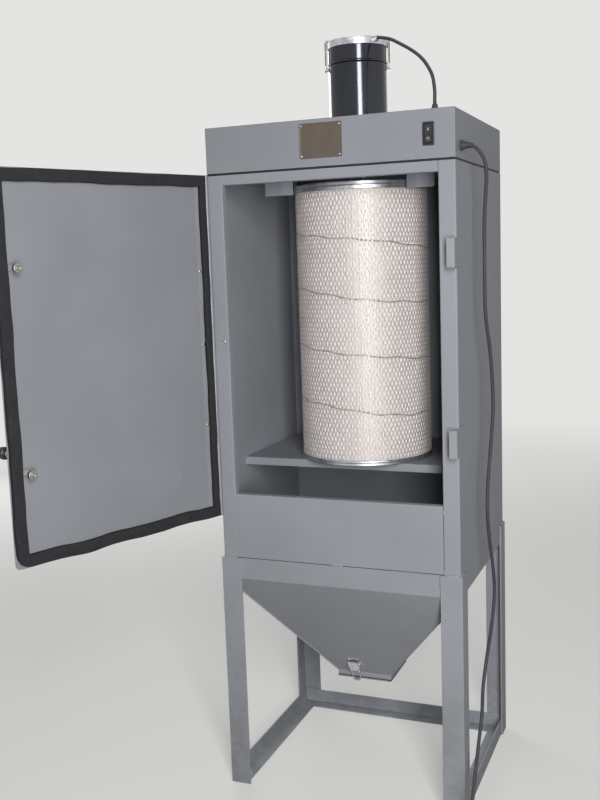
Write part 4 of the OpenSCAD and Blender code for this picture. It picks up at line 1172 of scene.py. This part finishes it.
addPiece("capBottom", capShape(z0, 1, 0, cartridge["rimBottom"]), galvanised, stands=("filter_bottom_cap",),
         sharp=30)
addPiece("capTop", capShape(z1, -1, 0.102, cartridge["rimTop"]), galvanised, stands=("filter_top_cap",),
         sharp=30)
sealLow, sealHigh = span("filter_seal")
sealOut, sealIn = sealHigh[0], sealHigh[0] - 0.022
addPiece("capSeal", lathe([(sealIn, sealLow[2]), (sealOut - 0.002, sealLow[2]), (sealOut, sealLow[2] + 0.002),
         (sealOut + 0.0008, (sealLow[2] + sealHigh[2]) / 2), (sealOut, sealHigh[2] - 0.002),
         (sealOut - 0.002, sealHigh[2]),
         (sealIn, sealHigh[2])], (0, middleY, 0), "z", 96, loop=True), foamSkin, stands=("filter_seal",),
         sharp=50)
print("cartridge dressed")


door = {"pin": (-0.289, -0.4835), "open": 111.5, "start": 0.005, "wide": 0.548, "low": 0.690, "high": 1.492,
        "face": -0.0045, "thick": 0.002, "corner": 0.014, "rivetX": 0.0268, "rivets": (1.274, 1.105, 0.915)}
swing = math.radians(door["open"])


def onDoor(points):  # what is drawn with the door shut, turned open about its pin
    x, y = points[..., 0], points[..., 1]
    return np.stack([door["pin"][0] + x * math.cos(swing) + y * math.sin(swing),
                     door["pin"][1] - x * math.sin(swing) + y * math.cos(swing), points[..., 2]], -1)


def turned(shape):  # the same for a whole shape
    return onDoor(shape[0]), shape[1]


x0, x1 = door["start"], door["start"] + door["wide"]
panel = rounded([(x0, door["low"]), (x1, door["low"]), (x1, door["high"]), (x0, door["high"])],
                [0.001, door["corner"], door["corner"], 0.001], 7)
addPiece("doorPanel", turned(extruded(panel, door["face"] - door["thick"], door["face"], "xzy", 0.0004)),
         doorPaint, "door", stands=("door_panel",), sharp=34)

gasket = {"inset": 0.0015, "wide": 0.026, "thick": 0.012, "corner": (0.001, 0.022, 0.012, 0.001),
          "leaf": 0.0325, "leafThick": 0.0015, "pitch": 0.003, "hingeWide": 0.017}


def gasketShape(g):
    # centre line: the panel's outline drawn in by half the strip; it wanders along the low edge where it
    # was laid by hand, and the strip's section is a soft-cornered bar that swells and pinches along the way
    back = g["inset"] + g["wide"] / 2
    radii = [max(r, 0.0006) for r in g["corner"]]
    side = x0 + g["hingeWide"] / 2 + 0.0005
    corners = [(side, door["low"] + back), (x1 - back, door["low"] + back), (x1 - back, door["high"] - back),
               (side, door["high"] - back)]
    flat = rounded(corners, radii, 9)
    line = np.concatenate([flat, flat[:1]])
    line = evenly(np.concatenate([line, 0 * line[:, :1]], 1), g["pitch"])[:-1, :2]
    cycle = 2 * np.pi * np.arange(len(line)) / len(line)
    keep, mitre = np.ones(len(line), bool), np.zeros(len(line), bool)
    # square corners at the hinge, cut where the two strips' edges meet
    for point in (corners[0], corners[3]):
        off = np.abs(line - point)
        nearest = np.argmin(off.sum(1))
        keep &= (off[:, 0] > g["hingeWide"] / 2 + 0.001) | (off[:, 1] > g["wide"] / 2 + 0.001)
        line[nearest], keep[nearest], mitre[nearest] = point, True, True
    line, cycle, mitre = line[keep], cycle[keep], mitre[keep]
    ahead = unit(np.roll(line, -1, 0) - np.roll(line, 1, 0))
    out = np.stack([ahead[:, 1], -ahead[:, 0]], 1)
    out[mitre] = np.sign(out[mitre])
    lowSide = ease((door["low"] + back + 0.03 - line[:, 1]) / 0.03) * ease((line[:, 0] - x0 - 0.03) / 0.06)
    sway = 0.0018 * lowSide * np.sin(2 * np.pi * line[:, 0] / 0.185 + 0.8) + 0.0006 * np.sin(9 * cycle + 1) \
        + 0.0004 * np.sin(23 * cycle)
    half = np.stack([np.where(line[:, 0] < side + 0.001, g["hingeWide"], g["wide"]), 0 * cycle + g["wide"]],
                    1) / 2
    half = half * (1 - 0.02 + 0.02 * np.sin(13 * cycle + 2) + 0.014 * np.sin(37 * cycle))[:, None]
    thick = g["thick"] * (1 - 0.03 + 0.025 * np.sin(11 * cycle) + 0.02 * np.sin(29 * cycle + 1))
    section = rounded([(-1, 0), (1, 0), (1, 1), (-1, 1)], [0.04, 0.04, 0.30, 0.30], 6)
    section[:, 1] += 0.05 * np.cos(np.pi * section[:, 0] / 2) * (section[:, 1] > 0.9)
    strip = line[:, None] + out[:, None] * (sway[:, None, None] + half[:, None] * section[None, :, :1])
    under = np.where(strip[..., 0] < g["leaf"], g["leafThick"], 0.0)
    high = door["face"] + np.maximum(section[None, :, 1] * thick[:, None], under)
    return shell(placed(strip[..., 0], strip[..., 1], high, "xzy"), loop=True)


gasketPiece = addPiece("doorGasket", turned(gasketShape(gasket)), foamSkin, "door", stands=("door_foam",))

addPiece("doorRivets", turned(domes([(door["rivetX"], door["face"] + gasket["leafThick"], z)
                                     for z in door["rivets"]], [(0, 1, 0)] * 3, 0.0034, 0.0016)),
         plated, "door")
addPiece("postRivet", domes([(-0.265, frontY, 1.108)], [(0, -1, 0)], 0.0032, 0.0014), plated)
leafHigh = span("hinge_leaf_fixed")
wallRivets = [(leafHigh[0][0], leafHigh[1][1] - 0.009, z)
              for z in np.linspace(door["low"] + 0.05, door["high"] - 0.05, 7)]
addPiece("hingeRivets", domes(wallRivets, [(-1, 0, 0)] * 7, 0.0032, 0.0014), plated)

latch = {"x": 0.518, "shaft": 0.004, "sleeve": 0.006, "sleeveLong": 0.025, "nut": 0.0095, "nutLong": 0.008,
         "pawlWide": 0.016, "pawlThick": 0.003, "pawlLong": 0.058, "arm": 0.052, "armUp": 57.5}


def latchSleeve(c, z):  # a tube turned round the latch's axis, its free end chamfered
    y, end = door["face"], door["face"] + c["sleeveLong"]
    return lathe(softened([(0.0030, y), (c["sleeve"], y), (c["sleeve"], end - 0.0004), (0.0055, end + 0.0002),
                           (0.0030, end + 0.0002)], 0.0004), (c["x"], 0, z), "y", 32)


def latchTurned(c, z):  # washer, knurled nut and the shaft's end, turned round the latch's axis
    y = door["face"]
    washer = lathe(softened([(0.0062, y), (0.0108, y), (0.0108, y + 0.0012), (0.0062, y + 0.0012)], 0.0003),
                   (c["x"], 0, z), "y", 32)
    n0 = y + c["sleeveLong"] + 0.0003
    n1 = n0 + c["nutLong"]
    nut = lathe(softened([(c["shaft"], n0), (c["nut"] - 0.001, n0), (c["nut"], n0 + 0.0010),
                          (c["nut"], n1 - 0.0012),
                          (c["nut"] - 0.0014, n1), (0.0052, n1), (0.0046, n1 - 0.0012),
                          (c["shaft"], n1 - 0.0012),
                          (0.0036, n1 - 0.0002), (0.0008, n1 - 0.0001)], 0.0004), (c["x"], 0, z), "y", 72,
                wave=lambda a: 1 - 0.02 * (np.sin(24 * a) > 0))
    return gathered([washer, nut])


def latchFlat(c, z):  # pawl and handle arm outside, two rounded bars on one hub, with the shaft's peened head
    y0 = door["face"] - door["thick"] - 0.001 - c["pawlThick"]
    h = c["pawlWide"] / 2
    pawl = rounded([(-h, 0.006), (-h, -c["pawlLong"]), (h, -c["pawlLong"]), (h, 0.006)],
                   [0.006, 0.002, 0.004, 0.006], 6)
    arm = rounded([(-0.006, -h), (c["arm"] + h, -h), (c["arm"] + h, h), (-0.006, h)],
                  [0.004, h * 0.98, h * 0.98, 0.004], 8)
    up = math.radians(c["armUp"])
    arm = np.stack([arm[:, 0] * math.cos(up) - arm[:, 1] * math.sin(up),
                    arm[:, 0] * math.sin(up) + arm[:, 1] * math.cos(up)], 1)
    shift = np.array([c["x"], z])
    hub = lathe(softened([(0.003, y0 - 0.0026), (0.0056, y0 - 0.0024), (0.0072, y0 - 0.0004), (0.0100, y0),
                          (0.0100, y0 + 0.0030),
                          (0.0070, y0 + 0.0037), (0.0030, y0 + 0.0037)], 0.0006), (c["x"], 0, z), "y", 40)
    return gathered([extruded(pawl + shift, y0, y0 + 0.0028, "xzy", 0.0005),
                     extruded(arm + shift, y0 + 0.0002, y0 + 0.0030, "xzy", 0.0005), hub])


def knobShape(c, z):
    # turned at the arm's end, which lies (arm cos up, arm sin up) from the latch's axis
    up = math.radians(c["armUp"])
    y = door["face"] - door["thick"] - 0.001 - c["pawlThick"]
    profile = softened([(0.0020, 0), (0.0070, 0), (0.0062, 0.0040), (0.0064, 0.0080), (0.0110, 0.0086),
                        (0.0135, 0.0112),
                        (0.0140, 0.0165), (0.0136, 0.0215), (0.0112, 0.0250), (0.0060, 0.0262),
                        (0.0008, 0.0262)], 0.0016, 5)
    profile = np.stack([profile[:, 0], -profile[:, 1]], 1)
    return lathe(profile, (c["x"] + c["arm"] * math.cos(up), y, z + c["arm"] * math.sin(up)), "y", 48)


for word, z in (("upper", 1.296), ("lower", 0.886)):
    riding = word + "_latch"
    addPiece(word + "LatchStud", turned(latchTurned(latch, z)), nutSteel, riding, sharp=36)
    addPiece(word + "LatchSleeve", turned(latchSleeve(latch, z)), sleeveZinc, riding, sharp=36)
    addPiece(word + "LatchHandle", turned(latchFlat(latch, z)), plated, riding, stands=("latch_" + word,),
             sharp=36)
    addPiece(word + "Knob", turned(knobShape(latch, z)), knobBlack, riding, stands=("knob_" + word,),
             sharp=50)
print("door dressed")


# The draw latch that shuts the hopper's outlet, on the front plate's slope.

slopeFrom = np.array([-0.017, middleY - 0.070, 0.252])
slope = math.atan2(0.245 - 0.070, 0.531 - 0.252)


def onSlope(points):  # x across, y out of the hopper's front plate (negative), z up along it
    x, y, z = points[..., 0], points[..., 1], points[..., 2]
    return np.stack([x, y * math.cos(slope) - z * math.sin(slope),
                     y * math.sin(slope) + z * math.cos(slope)], -1) + slopeFrom


def sloped(shape):  # the same for a whole shape
    return onSlope(shape[0]), shape[1]


def drawLatch():
    # foot plate, two cheeks, a lever whose line bows out by a sine and lifts at its end, and an axle
    foot = rounded([(-0.015, 0.016), (0.015, 0.016), (0.015, 0.056), (-0.015, 0.056)], 0.003, 5)
    plate = extruded(foot, -0.0020, 0, "xzy", 0.0004)
    cheek = rounded([(-0.0022, 0.020), (-0.0105, 0.022), (-0.0125, 0.034), (-0.0100, 0.049),
                     (-0.0022, 0.050)],
                    [0.0006, 0.002, 0.004, 0.003, 0.0006], 5)
    cheeks = [extruded(cheek, x, x + 0.0018, "yzx", 0.0003) for x in (-0.0150, 0.0132)]
    u = np.linspace(0, 1, 16)
    lever = np.stack([-0.0115 - 0.0022 * np.sin(np.pi * u) - 0.0035 * ease((u - 0.75) / 0.25),
                      0.017 + 0.040 * u], 1)
    strip = np.concatenate([lever, (lever + [0.0016, 0.0002])[::-1]])
    blade = extruded(strip, -0.0125, 0.0125, "yzx", 0.0)
    axle = lathe([(0.0017, -0.0160), (0.0021, -0.0156), (0.0021, 0.0156), (0.0017, 0.0160)],
                 (0, -0.0080, 0.0440), "x", 16)
    return gathered([plate, *cheeks, blade, axle])


addPiece("hopperLatch", sloped(drawLatch()), studSteel, stands=("outlet_latch",), sharp=38)
footY, footZ = middleY - 0.070 - 0.009, 0.252 - 0.012 - 0.003 - 0.003 - 0.00125
hook = onSlope(np.array([[0.0100, -0.0120, 0.0200], [0.0100, -0.0125, 0.0150]]))
hookLeft = hook - [0.020, 0, 0]
bail = np.concatenate([hookLeft, [[-0.027, footY, footZ + 0.006]], [[-0.0262, footY, footZ]],
                       [[-0.0078, footY, footZ]], [[-0.007, footY, footZ + 0.006]], hook[::-1]])
addPiece("latchBail", tube(smoothPath(bail, 0.0014), 0.00125, 10), studSteel)
addPiece("latchRivets", sloped(domes([(x, -0.0020, z) for x in (-0.0090, 0.0090) for z in (0.0195, 0.0525)],
         [(0, -1, 0)] * 4, 0.0024, 0.0012)), plated)

inlet = {"radius": 0.0635, "wall": 0.002, "flange": 0.018, "rivetOut": 0.0105, "rivets": 8}
inletLow, inletHigh = span("inlet_collar")
inletZ = (inletLow[2] + inletHigh[2]) / 2


def inletShape(n):
    # turned about Y: the flange on the back panel, a fillet, the collar with a raised bead and its open end
    r, w, end = n["radius"], n["wall"], inletHigh[1]
    profile = [(r - w, backY), (r + n["flange"], backY), (r + n["flange"], backY + w),
               (r + 0.0016, backY + w),
               (r, backY + 0.0036), (r, backY + 0.060), (r + 0.0009, backY + 0.0615),
               (r + 0.0009, backY + 0.0635),
               (r, backY + 0.065), (r, end - 0.0008), (r - 0.0004, end), (r - 0.0016, end),
               (r - w, end - 0.0008)]
    return lathe(softened(profile, 0.0006), (0, 0, inletZ), "y", 96, loop=True)


def inletRivets(n):  # evenly round the flange, half a step from its side
    a = 2 * np.pi * (np.arange(n["rivets"]) + 0.5) / n["rivets"]
    ring = n["radius"] + n["rivetOut"]
    spots = np.stack([ring * np.cos(a), 0 * a + backY + n["wall"], inletZ + ring * np.sin(a)], 1)
    return domes(spots, [(0, 1, 0)] * n["rivets"], 0.0034, 0.0016)


addPiece("inletCollar", inletShape(inlet), painted, stands=("inlet_collar",), sharp=36)
addPiece("inletRivets", inletRivets(inlet), plated)


def mirrored(shapes):  # the same beads on the other side
    return shapes + [outwards(points * [-1, 1, 1], blocks) for points, blocks in shapes]


hopperEdges = []
for y in (-1, 1):
    foot = (0.0702, middleY + y * 0.0702, 0.2525)
    kneeHigh = (halfWidth - 0.0002, middleY + y * 0.2448, 0.531)
    hopperEdges.append(bead(foot, kneeHigh, 0.0016))
legBeads = []
for y, face in ((frontY, -1), (backY, 1)):
    legBeads.append(bead((halfWidth - 0.004, y + face * 0.0012, seamZ + 0.0004),
                         (halfWidth - 0.030, y + face * 0.0012, seamZ + 0.0004), 0.0021))
    legBeads.append(bead((halfWidth + 0.0012, y - face * 0.004, seamZ + 0.0004),
                         (halfWidth + 0.0012, y - face * 0.032, seamZ + 0.0004), 0.0021))
    legBeads.append(bead((halfWidth - 0.0465, y + face * 0.0006, seamZ - 0.004),
                         (halfWidth - 0.0465, y + face * 0.0006, seamZ - 0.030), 0.0018))
railBeads = [bead((halfWidth - 0.0462, frontY + 0.0006, 0.0385),
                  (halfWidth - 0.0462, frontY + 0.0006, 0.0100), 0.0018),
             bead((halfWidth - 0.0040, frontY + 0.0470, 0.0384),
                  (halfWidth - 0.0040, frontY + 0.020, 0.0384), 0.0016),
             bead((halfWidth - 0.0384, backY - 0.0040, 0.0384), (halfWidth - 0.010, backY - 0.0040, 0.0384),
                  0.0016)]
seamBeads = [bead((-0.012, frontY - 0.0002, seamZ + 0.0007), (0.014, frontY - 0.0002, seamZ + 0.0007),
                  0.0018)]
postBeads = [bead((inner, frontY, z), (inner, frontY, z + long), 0.0021)
             for z, long in ((0.585, 0.009), (0.721, 0.010), (1.4755, 0.005), (1.4835, 0.005))]
addPiece("hopperWelds", gathered(mirrored(hopperEdges)), painted)
addPiece("standWelds", gathered(mirrored(legBeads + railBeads)), weldPaintGlint)
addPiece("seamWelds", gathered(mirrored(postBeads) + seamBeads), weldPaintGlint)
print("welds laid")


# Frame parts that show as they are get their finish here.

bare = {
    "ceiling_panel": insidePaintShaded, "back_panel": painted, "outlet_seal": darkRubber,
    "top_box_gasket": boxSeal,
    "hinge_leaf_fixed": leafPaint, "hinge_leaf_door": leafPaint, "hinge_pin": hingeSteel,
}
for part, finish in bare.items():
    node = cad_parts[part]
    node.data.materials.clear()
    node.data.materials.append(finish)


stageLook = {"floor": ink(232, 231, 228), "bounce": ink(108, 106, 102), "back": ink(228, 228, 226),
             "haze": 0.40, "clear": 1.5, "fade": 4.0, "reach": 24, "ambient": 0.06}


def floorFinish(s):
    # the floor glows like the backdrop by the share haze, and wholly from clear + fade metres away
    f = Finish("paleFloor")
    x, y = f.part("x"), f.part("y")
    away = ((x * x + y * y) ** 0.5).above(s["clear"] + s["fade"] / 2, s["fade"])
    seen = f.seen()
    tone = f.mix(seen, s["bounce"], s["floor"])
    matt = f.add("ShaderNodeBsdfDiffuse", {}, {"Color": tone, "Roughness": 0.5})
    glow = f.add("ShaderNodeEmission", {}, {"Color": s["back"], "Strength": 1.0})
    share = (away * (1 - s["haze"]) + s["haze"]) * seen
    f.output(f.add("ShaderNodeMixShader", {}, {0: share, 1: matt, 2: glow}))
    return f.material


def addStage(s):
    # a round floor of radius reach, and a world that is pale to look at and dim as a light
    a = np.linspace(0, 2 * np.pi, 96, endpoint=False)
    mesh = bpy.data.meshes.new("floor")
    ring = np.stack([s["reach"] * np.cos(a), s["reach"] * np.sin(a), 0 * a - 0.0002], 1)
    mesh.from_pydata(ring.tolist(), [], [list(range(len(a)))])
    mesh.materials.append(floorFinish(s))
    ground = bpy.data.objects.new("floor", mesh)
    bpy.context.scene.collection.objects.link(ground)
    world = bpy.data.worlds.new("studio")
    bpy.context.scene.world = world
    world.use_nodes = True
    sky = Finish("studio", world.node_tree)
    lit = sky.add("ShaderNodeBackground", {}, {"Color": (1, 1, 1, 1), "Strength": s["ambient"]})
    shown = sky.add("ShaderNodeBackground", {}, {"Color": s["back"], "Strength": 1.0})
    sky.output(sky.add("ShaderNodeMixShader", {}, {0: sky.seen(), 1: lit, 2: shown}), "ShaderNodeOutputWorld")


def addLamp(name, azimuth, distance, height, wide, tall, power, aim):
    # azimuth in degrees from the front towards the right; the panel faces the point aim
    lamp = bpy.data.lights.new(name, "AREA")
    lamp.shape, lamp.size, lamp.size_y, lamp.energy = "RECTANGLE", wide, tall, power
    thing = bpy.data.objects.new(name, lamp)
    bpy.context.scene.collection.objects.link(thing)
    a = math.radians(azimuth)
    place = np.array([distance * math.sin(a), middleY - distance * math.cos(a), height])
    back = unit(place - np.array(aim))
    side = unit(np.cross([0, 0, 1], back))
    matrix = np.eye(4)
    matrix[:3, :3] = np.stack([side, np.cross(back, side), back], 1)
    matrix[:3, 3] = place
    thing.matrix_world = Matrix(matrix.tolist())
    thing.visible_camera = False


addStage(stageLook)
addLamp("tallPanel", 25, 2.8, 1.42, 0.66, 1.9, 67, (0, middleY, 1.1))
addLamp("backPanel", -140, 4.0, 1.6, 2.6, 2.4, 95, (0, middleY, 1.0))
addLamp("overhead", -150, 1.4, 4.2, 2.6, 2.6, 24, (0, middleY, 1.0))
print("stage lit")
